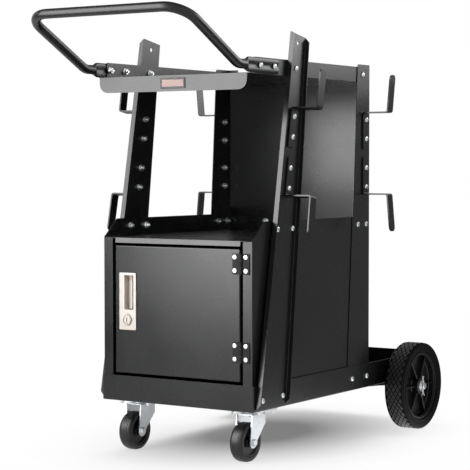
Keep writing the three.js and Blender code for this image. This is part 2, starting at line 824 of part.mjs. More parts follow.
function casterFork() {
  const leg = [
    [-forkCrownFront, crownTop],
    [-casterTrail - forkEyeRadius, casterAxleHeight],
    [-casterTrail - forkEyeRadius, casterAxleHeight - forkEyeRadius, forkEyeRadius - cornerRelief],
    [-casterTrail + forkEyeRadius, casterAxleHeight - forkEyeRadius, forkEyeRadius - cornerRelief],
    [-casterTrail + forkEyeRadius, casterAxleHeight],
    [forkCrownRear, crownBottom - forkShoulder],
    [forkCrownRear, crownTop],
  ];
  const legs = sides.map(([, side]) => plate("x", leg, [side * forkInner, side * forkOuter]));
  const crown = block([-forkOuter, forkOuter], [-forkCrownFront, forkCrownRear], [crownBottom, crownTop]);
  const pinBore = rod("z", kingpinDiameter + 2 * runningGap, [0, baseTop], [0, 0, 0]);
  const boltEnds = [-2 * forkOuter, 2 * forkOuter];
  const boltBore = rod("x", casterBoltDiameter + 2 * seatGap, boltEnds, casterAxle, smallRoundSides);
  return cut(join(crown, ...legs), pinBore, boltBore);
}

function casterBolt() {
  const seat = forkOuter + seatGap;
  const end = seat + casterBoltHeadHeight;
  const profile = [
    [0, -end],
    [casterBoltHead / 2, -end],
    [casterBoltHead / 2, -seat],
    [casterBoltDiameter / 2, -seat],
    [casterBoltDiameter / 2, seat],
    [casterBoltHead / 2, seat],
    [casterBoltHead / 2, end],
    [0, end],
  ];
  return turned("x", profile, casterAxle, smallRoundSides);
}

function casterTyre() {
  const bead = casterRadius - casterTyreDepth + seatGap;
  const half = casterWidth / 2;
  const profile = [
    [bead, -half],
    [casterRadius - casterShoulder, -half],
    [casterRadius, casterShoulder - half],
    [casterRadius, half - casterShoulder],
    [casterRadius - casterShoulder, half],
    [bead, half],
  ];
  return turned("x", profile, casterAxle, casterSides);
}

function casterHub() {
  const bore = casterBoltDiameter / 2 + runningGap;
  const boss = bore + casterHubWall;
  const rim = casterRadius - casterTyreDepth;
  const bossHalf = forkInner - runningGap;
  const half = casterWidth / 2 - forkSideGap;
  const profile = [
    [bore, -bossHalf],
    [boss, -bossHalf],
    [boss, -half],
    [rim, -half],
    [rim, half],
    [boss, half],
    [boss, bossHalf],
    [bore, bossHalf],
  ];
  return turned("x", profile, casterAxle, casterSides);
}

// Door, drawn shut: a pan open towards the cabinet, with a window for the latch
const doorBottom = baseTop + doorGap;
const doorTop = shelfTop - shelfLip - doorGap;
const doorRear = cabinetFront + doorDepth;
const latchX = -doorHalf + latchInset;
const latchZ = doorBottom + latchRise;
const pullX = latchX + pullShift;
const pullZ = latchZ + pullRise;
const lockZ = latchZ - lockDrop;
const cupHalfWidth = pullWidth / 2 + pullWall;
const cupHalfHeight = pullHeight / 2 + pullWall;
const latchFront = cabinetFront - seatGap - latchThickness;

function doorPanel() {
  const pan = block([-doorHalf, doorHalf], [cabinetFront, doorRear], [doorBottom, doorTop]);
  const hollow = block(
    [-doorHalf + panSheet, doorHalf - panSheet],
    [cabinetFront + panSheet, doorRear + panSheet],
    [doorBottom + panSheet, doorTop - panSheet],
  );
  const depth = [cabinetFront - panSheet, doorRear];
  const window = block(
    [pullX - cupHalfWidth - seatGap, pullX + cupHalfWidth + seatGap],
    depth,
    [pullZ - cupHalfHeight - seatGap, pullZ + cupHalfHeight + seatGap],
  );
  const lockBore = rod("y", lockBarrel + 2 * runningGap, depth, [latchX, 0, lockZ]);
  return cut(pan, hollow, window, lockBore);
}

// Latch: a face plate with a finger recess that reaches through the door, and a bore for the lock
function latchPlate() {
  const [halfWidth, halfHeight] = [latchWidth / 2, latchHeight / 2];
  const face = [
    [latchX - halfWidth, latchZ - halfHeight, latchCorner],
    [latchX + halfWidth, latchZ - halfHeight, latchCorner],
    [latchX + halfWidth, latchZ + halfHeight, latchCorner],
    [latchX - halfWidth, latchZ + halfHeight, latchCorner],
  ];
  const front = plate("y", face, [latchFront, latchFront + latchThickness]);
  const cup = block(
    [pullX - cupHalfWidth, pullX + cupHalfWidth],
    [latchFront, latchFront + pullDepth + pullWall],
    [pullZ - cupHalfHeight, pullZ + cupHalfHeight],
  );
  const recess = block(
    [pullX - pullWidth / 2, pullX + pullWidth / 2],
    [latchFront - panSheet, latchFront + pullDepth],
    [pullZ - pullHeight / 2, pullZ + pullHeight / 2],
  );
  const boreEnds = [latchFront - panSheet, doorRear];
  const lockBore = rod("y", lockBarrel + 2 * runningGap, boreEnds, [latchX, 0, lockZ]);
  return cut(join(front, cup), recess, lockBore);
}

// Lock: a barrel through latch and door with a key slot, and a cam that hangs down while unlocked
const camFront = doorRear + camSetback;

function lockCylinder() {
  const headRear = latchFront - runningGap;
  const headFront = headRear - lockHeadHeight;
  const barrelRear = camFront - seatGap;
  const profile = [
    [0, headFront],
    [lockHead / 2 - lockHeadHeight / 2, headFront],
    [lockHead / 2, headFront + lockHeadHeight / 2],
    [lockHead / 2, headRear],
    [lockBarrel / 2, headRear],
    [lockBarrel / 2, barrelRear],
    [0, barrelRear],
  ];
  const slot = block(
    [latchX - keySlotWidth / 2, latchX + keySlotWidth / 2],
    [headFront - keySlotDepth, headFront + keySlotDepth],
    [lockZ - keySlotHeight / 2, lockZ + keySlotHeight / 2],
  );
  return cut(turned("y", profile, [latchX, 0, lockZ], lockSides), slot);
}

function lockCam() {
  const half = camWidth / 2;
  const bar = [
    [latchX - half, lockZ - camReach, half - cornerRelief],
    [latchX + half, lockZ - camReach, half - cornerRelief],
    [latchX + half, lockZ + half, half - cornerRelief],
    [latchX - half, lockZ + half, half - cornerRelief],
  ];
  return plate("y", bar, [camFront, camFront + camThickness]);
}

// Butt hinges: a leaf on the stile with the outer knuckles, a leaf on the door with the middle one
const hingeX = (stileInner + doorHalf) / 2;
const leafRear = cabinetFront - seatGap;
const leafFront = leafRear - hingeLeaf;
const hingeY = leafFront - runningGap;
const hingeLevels = [
  ["upper", doorTop - upperHingeDrop],
  ["lower", doorBottom + lowerHingeRise],
];
const knuckleLength = (hingeHeight - 2 * runningGap) / 3;

// One leaf: a flat plate reaching from the axis to one side, with knuckles between the given heights.
function hingeLeafSolid(side, middle, knuckles) {
  const radius = knuckleDiameter / 2;
  const flat = block(
    [hingeX + side * (radius + runningGap), hingeX + side * hingeLeafEdge],
    [leafFront, leafRear],
    [middle - hingeHeight / 2, middle + hingeHeight / 2],
  );
  const pieces = knuckles.flatMap(([low, high]) => [
    rod("z", knuckleDiameter, [low, high], [hingeX, hingeY, 0], smallRoundSides),
    block([hingeX, hingeX + side * (radius + 2 * runningGap)], [leafFront, leafRear], [low, high]),
  ]);
  const boreEnds = [middle - hingeHeight, middle + hingeHeight];
  const boreDiameter = hingePinDiameter + 2 * runningGap;
  const bore = rod("z", boreDiameter, boreEnds, [hingeX, hingeY, 0], smallRoundSides);
  return cut(join(flat, ...pieces), bore);
}

function outerKnuckles(middle) {
  const ends = [middle - hingeHeight / 2, middle + hingeHeight / 2];
  return [[ends[0], ends[0] + knuckleLength], [ends[1] - knuckleLength, ends[1]]];
}

const middleKnuckle = (middle) => [[middle - knuckleLength / 2, middle + knuckleLength / 2]];

function hingePin(middle) {
  const ends = [middle - hingeHeight / 2, middle + hingeHeight / 2];
  return rod("z", hingePinDiameter, ends, [hingeX, hingeY, 0], smallRoundSides);
}

// Assembly

addPiece(cart, "base_tray", baseTray(), "powderCoat");
addPiece(cart, "back_panel", backPanel(), "powderCoat");
addPiece(cart, "shelf_tray", shelfTray(), "powderCoat");
addPiece(cart, "top_tray", topTray(), "powderCoat");
addPiece(cart, "badge_plate", badgePlate(), "badge");
addPiece(cart, "push_handle", pushHandle(), "powderCoat");

for (const [name, side] of sides) {
  addPiece(cart, `${name}_side_panel`, sidePanel(side), "powderCoat");
  addPiece(cart, `rear_${name}_post`, rearPost(side), "powderCoat");
  for (const [end, y] of handleBolts) {
    addPiece(cart, `${name}_handle_bolt_${end}`, handleBolt(side, y), "zinc");
  }

  const post = new THREE.Group();
  post.position.set(side * (baseHalf + seatGap), 0, baseTop);
  post.rotation.y = -side * postTilt;
  cart.add(post);
  addPiece(post, `front_${name}_post`, frontPost(side), "powderCoat");

  for (const [level, height, flip] of hookLevels) {
    const spot = postMiddle(height);
    const frontSolid = cableHook(side, frontHookLean);
    const frontHook = addPiece(post, `hook_front_${name}_${level}`, frontSolid, "powderCoat");
    frontHook.position.set(side * (frontPostSheet + seatGap), spot.x, spot.y);
    frontHook.rotation.x = flip - postRake;
    const rearSolid = cableHook(side, rearHookLean);
    const rearHook = addPiece(cart, `hook_rear_${name}_${level}`, rearSolid, "powderCoat");
    rearHook.position.set(side * (rearPostOuter + seatGap), cabinetLength - rearHookInset, height);
    rearHook.rotation.x = flip;
  }

  addPiece(cart, `${name}_axle_bracket`, axleBracket(side), "powderCoat");
  const spacerEnds = [bracketOuter + seatGap, wheelInner - runningGap];
  addPiece(cart, `${name}_axle_spacer`, axleRing(side, spacerRadius, seatGap, spacerEnds), "zinc");
  addPiece(cart, `${name}_wheel_tyre`, wheelTyre(side), "rubber");
  addPiece(cart, `${name}_wheel_rim`, wheelRim(side), "plastic");
  const washerEnds = [hubOuter + runningGap, washerOuter];
  const washerRadius = axleRadius + washerWidth;
  addPiece(cart, `${name}_wheel_washer`, axleRing(side, washerRadius, seatGap, washerEnds), "zinc");
  addPiece(cart, `${name}_split_pin`, splitPin(side), "zinc");

  const caster = new THREE.Group();
  caster.position.set(side * (baseHalf - casterSideInset), casterFrontInset, 0);
  cart.add(caster);
  addPiece(caster, `${name}_caster_plate`, casterPlate(), "zinc");
  addPiece(caster, `${name}_caster_kingpin`, casterKingpin(), "zinc");
  addPiece(caster, `${name}_caster_fork`, casterFork(), "zinc");
  addPiece(caster, `${name}_caster_bolt`, casterBolt(), "zinc");
  addPiece(caster, `${name}_caster_hub`, casterHub(), "plastic");
  addPiece(caster, `${name}_caster_tyre`, casterTyre(), "rubber");
}

addPiece(cart, "rear_axle", rearAxle(), "zinc");

addPiece(cart, "door", doorPanel(), "powderCoat");
addPiece(cart, "latch_plate", latchPlate(), "nickel");
addPiece(cart, "lock_cylinder", lockCylinder(), "nickel");
addPiece(cart, "lock_cam", lockCam(), "zinc");
for (const [level, middle] of hingeLevels) {
  const frameLeaf = hingeLeafSolid(1, middle, outerKnuckles(middle));
  const doorLeaf = hingeLeafSolid(-1, middle, middleKnuckle(middle));
  addPiece(cart, `${level}_hinge_frame_leaf`, frameLeaf, "powderCoat");
  addPiece(cart, `${level}_hinge_door_leaf`, doorLeaf, "powderCoat");
  addPiece(cart, `${level}_hinge_pin`, hingePin(middle), "zinc");
}

// The origin lies midway between the front of the grip and the rear of the base.
cart.position.y = -(gripY - tubeDiameter / 2 + baseLength) / 2;

export default cart;
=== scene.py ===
# Looks of a black sheet-metal welding cart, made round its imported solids.
# Sizes are written in millimetres and become metres through MM. +Z is up and the door faces -Y.

import math

import bmesh
import bpy
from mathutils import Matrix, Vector


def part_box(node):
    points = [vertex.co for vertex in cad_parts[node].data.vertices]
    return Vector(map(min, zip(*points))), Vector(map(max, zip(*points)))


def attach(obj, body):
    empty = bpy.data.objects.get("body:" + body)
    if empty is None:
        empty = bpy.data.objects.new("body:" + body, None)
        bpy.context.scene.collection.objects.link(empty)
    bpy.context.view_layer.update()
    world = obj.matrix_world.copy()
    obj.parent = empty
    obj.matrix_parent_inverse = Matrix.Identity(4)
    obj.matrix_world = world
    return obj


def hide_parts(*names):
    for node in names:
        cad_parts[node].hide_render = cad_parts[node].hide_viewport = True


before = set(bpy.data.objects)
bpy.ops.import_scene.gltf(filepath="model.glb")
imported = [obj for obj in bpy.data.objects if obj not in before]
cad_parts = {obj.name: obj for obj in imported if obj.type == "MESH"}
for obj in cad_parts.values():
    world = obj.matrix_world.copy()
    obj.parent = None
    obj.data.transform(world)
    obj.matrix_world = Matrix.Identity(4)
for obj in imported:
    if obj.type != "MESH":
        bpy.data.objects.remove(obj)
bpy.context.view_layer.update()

MM = 0.001
X = Vector((1, 0, 0))
Y = Vector((0, 1, 0))
Z = Vector((0, 0, 1))
SIDES = (("left", -1), ("right", 1))

# Facets and shading
SMOOTH_LIMIT = math.radians(35)  # edges sharper than this stay crisp
FOLD_LIMIT = math.radians(40)  # wide faces that meet at more than this meet at a fold
ROUND_STEPS = 48
SMALL_STEPS = 24
WIRE_STEPS = 8
TYRE_STEPS = 88
CORNER_STEPS = 5
FINE_CORNER_STEPS = 3
BEND_STEPS = 4
EASE_STEPS = 2
HEXAGON = 6

# Sheet metal
PAN_SHEET = 1.5
FRONT_POST_SHEET = 2.0
BAR = 3.0  # cable hooks, axle brackets and caster forks
BEND_INSIDE = 1.0  # inside radius of a folded edge
TIGHT_BENDS = (1.2, 0.8)  # outer and inner radius of the folds of the shelf and the top tray
BEND_PROFILE = 0.5  # Blender's value for a round section
CUT_FACE = 1.4  # a face narrower than this many sheets is a cut edge
WELD_GAP = 0.01  # corners nearer than this are one corner
FLAT_LIMIT = math.radians(1)  # faces that meet at less than this are one face
CUT_EASE = 0.3  # rounding that the coat leaves on a cut edge
BAR_EASE = 0.6
SEAT_GAP = 0.3

# Push handle
FLAT_HEIGHT = 29.0
FLAT_THICKNESS = 5.0
FLAT_REAR = 88.0  # base front to the rear end of the flats
FLAT_RISE = 14.7  # tray surface to the flats' centre line
FLAT_LEAD = 3.0  # tray lip to where the flats begin
FLAT_END_SHARE = 0.93  # how far the eased rear end of the flats is drawn in
FLAT_END_EASE = 0.6
CRIMP = 14.0  # length over which the tube is pressed flat
CRIMP_STEPS = 8
BEND_LEAD = 39.6  # tray lip to the lower bend
HANDLE_REACH = 175.0
HANDLE_RISE = 92.8
LOWER_BEND = 40.0
GRIP_BEND = 46.5
TUBE_STEPS = 12  # steps of each bend of the tube
LOBE_MIDDLE = 0.55  # middle of the hollow edge left above and below the pressed groove, as a share
GROOVE_LEVEL = 0.4  # share of the flats' thickness left in the groove

# Tray, shelf and posts
TRAY_WALL = 30.5
UPSTAND = 35.7
SHELF_LIP = 10.8
SHELF_LIP_LEAN = math.radians(9)  # the lip springs back from square
POST_FOOT_DEPTH = 108.0
POST_HEAD_DEPTH = 57.0

# Pan-head bolts with their flange nuts, and countersunk screws
BOLT = 6.0
BOLT_HEAD = 11.0
BOLT_HEAD_HEIGHT = 3.6
BOLT_SOCKET = 4.0
# Points of a head's crown, as shares of its radius and of its height
HEAD_CROWN = ((0.96, 0.0), (1.0, 0.1), (1.0, 0.35), (0.93, 0.62), (0.78, 0.85), (0.58, 0.97), (0.5, 1.0))
SOCKET_FLOOR = 0.4  # share of the head's height left under its socket
NUT_FLATS = 10.0
NUT_HEIGHT = 6.0
NUT_FLANGE = 14.0
NUT_FLANGE_HEIGHT = 1.2
NUT_FLANGE_CONE = 0.9
NUT_CHAMFER = 0.5
BOLT_END = 3.5  # bolt past its nut
SCREW_HEAD = 8.4
SCREW_HEAD_HEIGHT = 0.3  # what stands out of the leaf: the leaves fold flat on each other
SCREW_SOCKET = 3.0

# Places of the bolts: along the cart from the base front, and up from what is named
BASE_BOLTS = ((28.0, 20.5), (101.0, 23.0))  # above the base underside
APRON_BOLTS = ((380.0, 25.0), (442.0, 25.0))
SHELF_BOLTS = (85.0, 140.0)
SHELF_REAR_BOLTS = (406.0, 441.0)
SHELF_BOLT_RISE = 19.8
SHELF_BACK_BOLT = 78.0  # cart's middle to the bolts in the shelf's rear wall
REAR_TRAY_BOLT = 425.0
HOOK_BOLTS = (16.5, 56.5)  # hook's arm to its bolts
HOOK_DROPS = {"upper": 62.5, "lower": 236.0}  # tray surface to the hooks' arms
HANDLE_BOLTS = (21.0, 71.0)
CASTER_BOLT_PLACES = ((-33, -23), (33, -23), (-33, 23), (33, 23))  # from the swivel axis

# Rear wheels and their axle
TREAD_COLUMNS = 36  # blocks round the tyre
TREAD_ROWS = 3  # rows of blocks on each side of the middle row
TREAD_HEIGHT = 2.2
TREAD_CENTRE = 17.0  # half width of the tread before the shoulder
SHOULDER = 6.0
TREAD_REACH = 20.0  # middle of the tread to its shoulder ring, measured over the shoulder
RING_REACH = 25.0  # middle of the tread to the outer edge of that ring
RING_POINTS = 6
TREAD_SPOTS = 9  # points of the carcass under each half of the tread
BLOCK_FOOT = 0.94  # share of its cell that a block's foot covers
BLOCK_TOP = 0.76
BLOCK_ROOT = 0.4  # how far a block is rooted in the tyre
# Points of the sidewall: out from the bead, and in from the tyre's side
SIDEWALL = ((0.0, 3.5), (1.5, 2.2), (4.0, 1.2), (5.0, 1.9), (6.5, 1.9))
RIM_DEPTH = 22.0  # tread to rim
RIM_LIP_INSET = 4.0
RIM_LIP = 3.5  # width of the rim's flat lip
RIM_STEP = 2.5  # depth of the step inside the lip
RIM_WALL = 5.0
RIM_WEB = 6.0
RIM_DRAFT = 1.5  # how far the barrel closes in towards the web
RIM_EASE = 0.8
RIM_FILLET = 3.0
HUB_WALL = 11.0
HUB_EASE = 1.2
AXLE = 14.0
AXLE_CHAMFER = 1.2
WHEEL_CLEARANCE = 0.4
RIB_COUNT = 6
RIB_ROOT = 6.0
RIB_CREST = 3.4
RIB_BEVEL = 1.1
RIB_DROPS = (4.0, 5.0, 6.0, 7.0)  # wheel's face to the rib's crest, from the hub to the barrel
RIB_SINK = 1.0  # how far a rib is sunk in the web, the hub and the barrel
RING_EASE = 0.3
COTTER_WIRE = 1.5
COTTER_EYE = 2.6
COTTER_EYE_STEPS = 4  # steps of each half of the eye
COTTER_EYE_OPENING = math.radians(60)  # on each side of the eye's neck
COTTER_LEG = 3.0  # axle to where the legs turn out
COTTER_TIP = 7.0  # pin's middle to the tip of a leg
COTTER_KNEE = (3.0, 3.0)  # knee of a leg: from the pin's middle, and up from the tip

# Swivel casters
CASTER_PLATE = (84.0, 64.0)
CASTER_PLATE_THICKNESS = 3.0
CASTER_PLATE_CORNER = 9.0
RACE = 42.0
RACE_CUP = 2.4  # height of the upper cup of the ball race
RACE_SEAM = 1.2  # seam between the two cups
KINGPIN = 10.0
KINGPIN_HEAD_HEIGHT = 4.0
KINGPIN_CHAMFER = 1.5
CASTER_SHOULDER = 6.0
CASTER_TREAD_STEP = 0.9  # height of the raised tread band
CASTER_TREAD_INSET = 7.5  # tyre side to the raised band
CASTER_BEAD = 1.5
CASTER_BORE = 8.8
CASTER_BOSS = 18.8
CASTER_WEB_INSET = 5.0  # tyre side to the hub's web
CASTER_RIM_INSET = 1.5
CASTER_RIM_WALL = 3.0
CASTER_BOLT = 8.0
CASTER_BOLT_FLATS = 12.0
CASTER_BOLT_HEAD = 5.0
CASTER_BOLT_CHAMFER = 0.7

# Hinges
HINGE_HEIGHT = 40.0
HINGE_LEAF = 1.6
HINGE_LEAF_EDGE = 19.4
HINGE_CORNER = 2.0
HINGE_EASE = 0.35
HINGE_PIN = 3.2
HINGE_PIN_CHAMFER = 0.4
KNUCKLES = 3  # two on the frame leaf and one on the door leaf
KNUCKLE = 7.0
KNUCKLE_GAP = 0.4
KNUCKLE_BORE = 3.4
HINGE_SCREW_RISE = 13.0
HINGE_SCREW_REACH = {"frame": 10.6, "door": 14.6}  # hinge axis to the screws of each leaf

# Latch, lock and badge
LATCH_THICKNESS = 2.5
LATCH_CORNER = 1.5
LATCH_BEVEL = 0.9
ROLL_MIDDLE = 1 / 3  # share of a rolled edge at which it turns most
PULL_WIDTH = 22.0
PULL_HEIGHT = 68.0
PULL_CORNER = 2.0
PULL_DEPTH = 12.0
PULL_WALL = 1.5
PULL_RISE = 17.5
PULL_SHIFT = 3.2
PULL_ROLL = 0.8  # roll of the face into the recess
PULL_SLOPE = 12.0  # how far the recess wall on the hinge side leans in
PULL_LOWER_SLOPE = 2.0  # how far its lower wall leans in
PULL_DRAFT = 1.0  # how far its other walls lean in
PULL_SCREW_HEAD = 5.5
PULL_SCREW_HEIGHT = 1.4
PULL_SCREW_SOCKET = 2.4
PULL_SCREW_RISE = 26.0  # recess middle to that screw
LOCK_HEAD = 22.0
LOCK_HEAD_HEIGHT = 2.5
LOCK_BARREL = 16.0
LOCK_BEVEL = 1.4
LOCK_CORE = 15.0
LOCK_GAP = 0.8  # groove round the core
LOCK_RECESS = 0.4  # core below the ring
KEY_SLOT_WIDTH = 2.4
KEY_SLOT_HEIGHT = 9.0
KEY_SLOT_DEPTH = 3.5
KEY_SLOT_SQUARENESS = 0.4  # exponent of its outline: 1 is an ellipse, smaller is squarer
BADGE_BORDER = 3.3
BADGE_CORNER = 2.0
BADGE_EASE = 0.4

# Finishes
DRIFT_RANGE = (0.3, 0.7)  # part of the noise's range over which a finish changes
DRIFT_DETAIL = 3.0
GRAIN_DETAIL = 2.0
WHITE = "#ffffff"
FLOOR_PAINT = "#f6f6f6"

# Studio, in metres
FLOOR_SIZE = 40.0
FLOOR_CENTRE = (-0.04, 0.12)  # middle of the cart's shadow
FLOOR_STRETCH = 1.42  # length of the shadow along the cart over its width
FLOOR_REACH = 3.0  # distance from that middle at which the floor is plain white
# Shares of that distance, and the share of plain white there
FLOOR_WHITE = ((0.032, 0.18), (0.11, 0.88), (0.14, 0.98), (1.0, 1.0))
FLOOR_DROP = 0.0004  # keeps the floor clear of the wheels
AMBIENT = 0.25
CAMERA_PLACE = (1.8746, -2.88315, 0.57375)
CAMERA_TARGET = (0, 0.00635, 0.42825)
CAMERA_LENS = 127.62  # in millimetres, as the sensor is
CAMERA_SENSOR = 36
CAMERA_SHIFT = -0.0223
# Soft lights, which reflections don't see: place, target, width and height, and radiance
SOFTBOXES = {
    "front_softbox": ((-0.9, -1.9, 1.5), (0, 0, 0.45), (1.2, 1.4), 1.5),
    "rear_softbox": ((-0.6, 0.9, 2.4), (0, 0, 0), (1.6, 1.6), 7.0),
}
# Cards and boards, which only reflections see: place, target, width and height, and brightness
CARDS = {
    "front_card": ((-0.704, -1.451, 1.25), (0.168, -0.109, 1.25), (1.0, 1.5), 9.0),
    "low_front_card": ((-0.566, -1.541, 0.35), (0.306, -0.199, 0.35), (0.67, 0.3), 8.0),
    "left_board": ((-1.551, -0.901, 1.0), (-0.679, 0.441, 1.0), (0.9, 2.0), 0.02),
    "low_left_board": ((-0.985, -1.269, 0.23), (-0.113, 0.073, 0.23), (0.33, 0.42), 0.02),
    "near_left_board": ((-0.172, 0.045, 0.63), (0, 0.045, 0.63), (0.39, 0.3), 0.22),
    "shelf_left_board": ((-0.172, 0.045, 0.455), (0, 0.045, 0.455), (0.39, 0.05), 0.02),
    "tray_board": ((-0.08, -0.12, 0.728), (-0.08, 0, 0.728), (0.25, 0.045), 0.05),
    "shelf_board": ((-0.08, -0.12, 0.48), (-0.08, 0, 0.48), (0.25, 0.11), 2.2),
    "side_board": ((0.45, 0.54, 0.37), (0.18, 0.12, 0.37), (1.8, 0.74), 0.27),
    "rim_card": ((1.14, 1.4, 1.42), (0.18, 0.12, 1.42), (1.2, 0.95), 5.0),
    "overhead_board": ((-0.75, 0.75, 2.3), (-0.75, 0.75, 0), (3.5, 3.5), 0.25),
    "floor_board": ((0.3, 1.75, 0.001), (0.3, 1.75, 1), (4.0, 2.5), 0.1),
    "floor_card": ((0.4, 0.17, 0.002), (0.4, 0.17, 1), (0.4, 0.45), 1.4),
}


# Finishes

def linear(hex_colour):
    """Turns an sRGB hex colour into linear red, green, blue and alpha."""
    levels = [int(hex_colour[start:start + 2], 16) / 255 for start in (1, 3, 5)]
    return [v / 12.92 if v <= 0.04045 else ((v + 0.055) / 1.055) ** 2.4 for v in levels] + [1.0]


def add_node(tree, kind, sockets=None, **settings):
    """Adds a node. Each socket takes a plain value or, as a link, another node's output."""
    node = tree.nodes.new(kind)
    for name, value in settings.items():
        setattr(node, name, value)
    for name, value in (sockets or {}).items():
        if isinstance(value, bpy.types.NodeSocket):
            tree.links.new(value, node.inputs[name])
        else:
            node.inputs[name].default_value = value
    return node


def clear_tree(holder):
    """Gives a material or a world an empty node tree."""
    holder.use_nodes = True
    holder.node_tree.nodes.clear()
    return holder.node_tree


def surface(name, colours, roughness, drift_size, grain_size, grain_depth, **shader_values):
    """A finish whose colour and gloss drift slowly over the piece, with a fine grain in its skin.

    The two sizes and the depth are in millimetres."""
    material = bpy.data.materials.new(name)
    tree = clear_tree(material)
    place = add_node(tree, "ShaderNodeTexCoord").outputs["Object"]
    drift = add_node(tree, "ShaderNodeTexNoise", {
        "Vector": place,
        "Scale": 1 / (drift_size * MM),
        "Detail": DRIFT_DETAIL,
    }).outputs["Fac"]
    grain = add_node(tree, "ShaderNodeTexNoise", {
        "Vector": place,
        "Scale": 1 / (grain_size * MM),
        "Detail": GRAIN_DETAIL,
    }).outputs["Fac"]
    ramp = add_node(tree, "ShaderNodeValToRGB", {"Fac": drift})
    for element, share, colour in zip(ramp.color_ramp.elements, DRIFT_RANGE, colours):
        element.position = share
        element.color = linear(colour)
    gloss = add_node(tree, "ShaderNodeMapRange", {
        "Value": drift,
        "From Min": DRIFT_RANGE[0],
        "From Max": DRIFT_RANGE[1],
        "To Min": roughness[0],
        "To Max": roughness[1],
    })
    skin = add_node(tree, "ShaderNodeBump", {"Height": grain, "Distance": grain_depth * MM})
    shader = add_node(tree, "ShaderNodeBsdfPrincipled", {
        "Base Color": ramp.outputs["Color"],
        "Roughness": gloss.outputs["Result"],
        "Normal": skin.outputs["Normal"],
    })
    for socket, value in shader_values.items():
        shader.inputs[socket.replace("_", " ")].default_value = value
    add_node(tree, "ShaderNodeOutputMaterial", {"Surface": shader.outputs["BSDF"]})
    return material


def make_finishes():
    """The finishes by name. A piece shows the one named like its slot, unless it says otherwise."""
    return {
        # Polyester powder baked on steel: satin black, with an orange peel drawn coarse enough to show.
        "powder_coat": surface(
            "satin_black_powder_coat", ("#131415", "#191a1b"), (0.25, 0.30),
            drift_size=90, grain_size=2.6, grain_depth=0.08, IOR=1.5,
        ),
        # A fine powder on the smooth drawn tube: deeper black than the sheet, with hardly any orange peel.
        "tube_coat": surface(
            "smooth_black_powder_coat", ("#0b0c0d", "#101112"), (0.32, 0.36),
            drift_size=60, grain_size=3.0, grain_depth=0.02, IOR=1.45,
        ),
        # Powder with a wrinkle agent on the stamped hinges: darker and duller than the sheet round them.
        "hinge_coat": surface(
            "wrinkle_black_powder_coat", ("#0e0e0f", "#1c1c1d"), (0.58, 0.70),
            drift_size=4, grain_size=2.2, grain_depth=0.25, IOR=1.4,
        ),
        # Zinc electroplate with a clear passivate: bright blue-grey metal, faintly cloudy.
        "zinc_plate": surface(
            "bright_zinc_plate", ("#d4d8dc", "#eceef0"), (0.28, 0.38),
            drift_size=9, grain_size=0.9, grain_depth=0.01, Metallic=1.0,
        ),
        # Die casting, bead blasted and nickel plated: pale warm metal with a soft sheen.
        "satin_nickel": surface(
            "satin_nickel_plate", ("#afa9a2", "#bbb5ae"), (0.52, 0.60),
            drift_size=22, grain_size=0.8, grain_depth=0.012, Metallic=1.0,
        ),
        # Moulded black rubber: nearly matt, greyer where it has been handled.
        "tyre_rubber": surface(
            "moulded_tyre_rubber", ("#050506", "#09090a"), (0.40, 0.50),
            drift_size=28, grain_size=1.4, grain_depth=0.08, Specular_IOR_Level=0.12,
        ),
        # The tread blocks: the tyre's rubber painted greyer than the sidewall as a painted highlight on the
        # blocks, and a little shinier.
        "painted_lit_tread": surface(
            "tread_blocks_painted_highlight", ("#262627", "#313132"), (0.34, 0.44),
            drift_size=28, grain_size=1.4, grain_depth=0.04, IOR=1.52,
        ),
        # Hard solid rubber, ground to size: black with a low even sheen.
        "caster_rubber": surface(
            "ground_hard_rubber", ("#0c0c0d", "#131314"), (0.36, 0.46),
            drift_size=20, grain_size=1.2, grain_depth=0.05, IOR=1.52,
        ),
        # Injection-moulded polypropylene with a fine spark-eroded texture: soft black with a dull shine.
        "moulded_plastic": surface(
            "moulded_black_plastic", ("#070708", "#0b0b0c"), (0.30, 0.38),
            drift_size=40, grain_size=1.1, grain_depth=0.05, IOR=1.49,
        ),
        # Printed aluminium under clear lacquer, left blank: pale red-grey field.
        "badge_face": surface(
            "lacquered_badge_field", ("#dcbab3", "#e6c8c1"), (0.30, 0.36),
            drift_size=26, grain_size=1.2, grain_depth=0.01, IOR=1.5,
        ),
        # The badge's raised border, printed dark.
        "badge_border": surface(
            "lacquered_badge_border", ("#181213", "#20191a"), (0.40, 0.46),
            drift_size=26, grain_size=1.2, grain_depth=0.01, IOR=1.5,
        ),
    }


# Mesh tools

def circle(centre, axis, radius, steps, flats=0):
    """Points of a circle round an axis, or of a polygon whose flats lie at that radius."""
    across = axis.orthogonal().normalized()
    upward = axis.cross(across)
    points = []
    for step in range(steps):
        angle = 2 * math.pi * step / steps
        reach = radius
        if flats:
            half = math.pi / flats
            reach /= math.cos((angle + half) % (2 * half) - half)
        points.append(centre + (across * math.cos(angle) + upward * math.sin(angle)) * reach)
    return points


def loft(bm, loops, closed=False):
    """Skins loops that have the same count of points, and caps the ends unless the skin closes."""
    rings = [[bm.verts.new(point) for point in loop] for loop in loops]
    pairs = list(zip(rings, rings[1:]))
    if closed:
        pairs.append((rings[-1], rings[0]))
    for near, far in pairs:
        for i in range(len(near)):
            k = (i + 1) % len(near)
            bm.faces.new((near[i], near[k], far[k], far[i]))
    if closed:
        return
    bm.faces.new(reversed(rings[0]))
    bm.faces.new(rings[-1])


def turn(bm, profile, centre, axis, steps=ROUND_STEPS, closed=False):
    """A turned shape, from points in millimetres: radius, place along the axis and any count of flats."""
    loft(bm, [
        circle(centre + axis * along * MM, axis, radius * MM, steps, *flats)
        for radius, along, *flats in profile
    ], closed)


def turned(profile, centre, axis, steps=ROUND_STEPS, closed=False):
    """A new bmesh that holds one turned shape."""
    bm = bmesh.new()
    turn(bm, profile, centre, axis, steps, closed)
    return bm


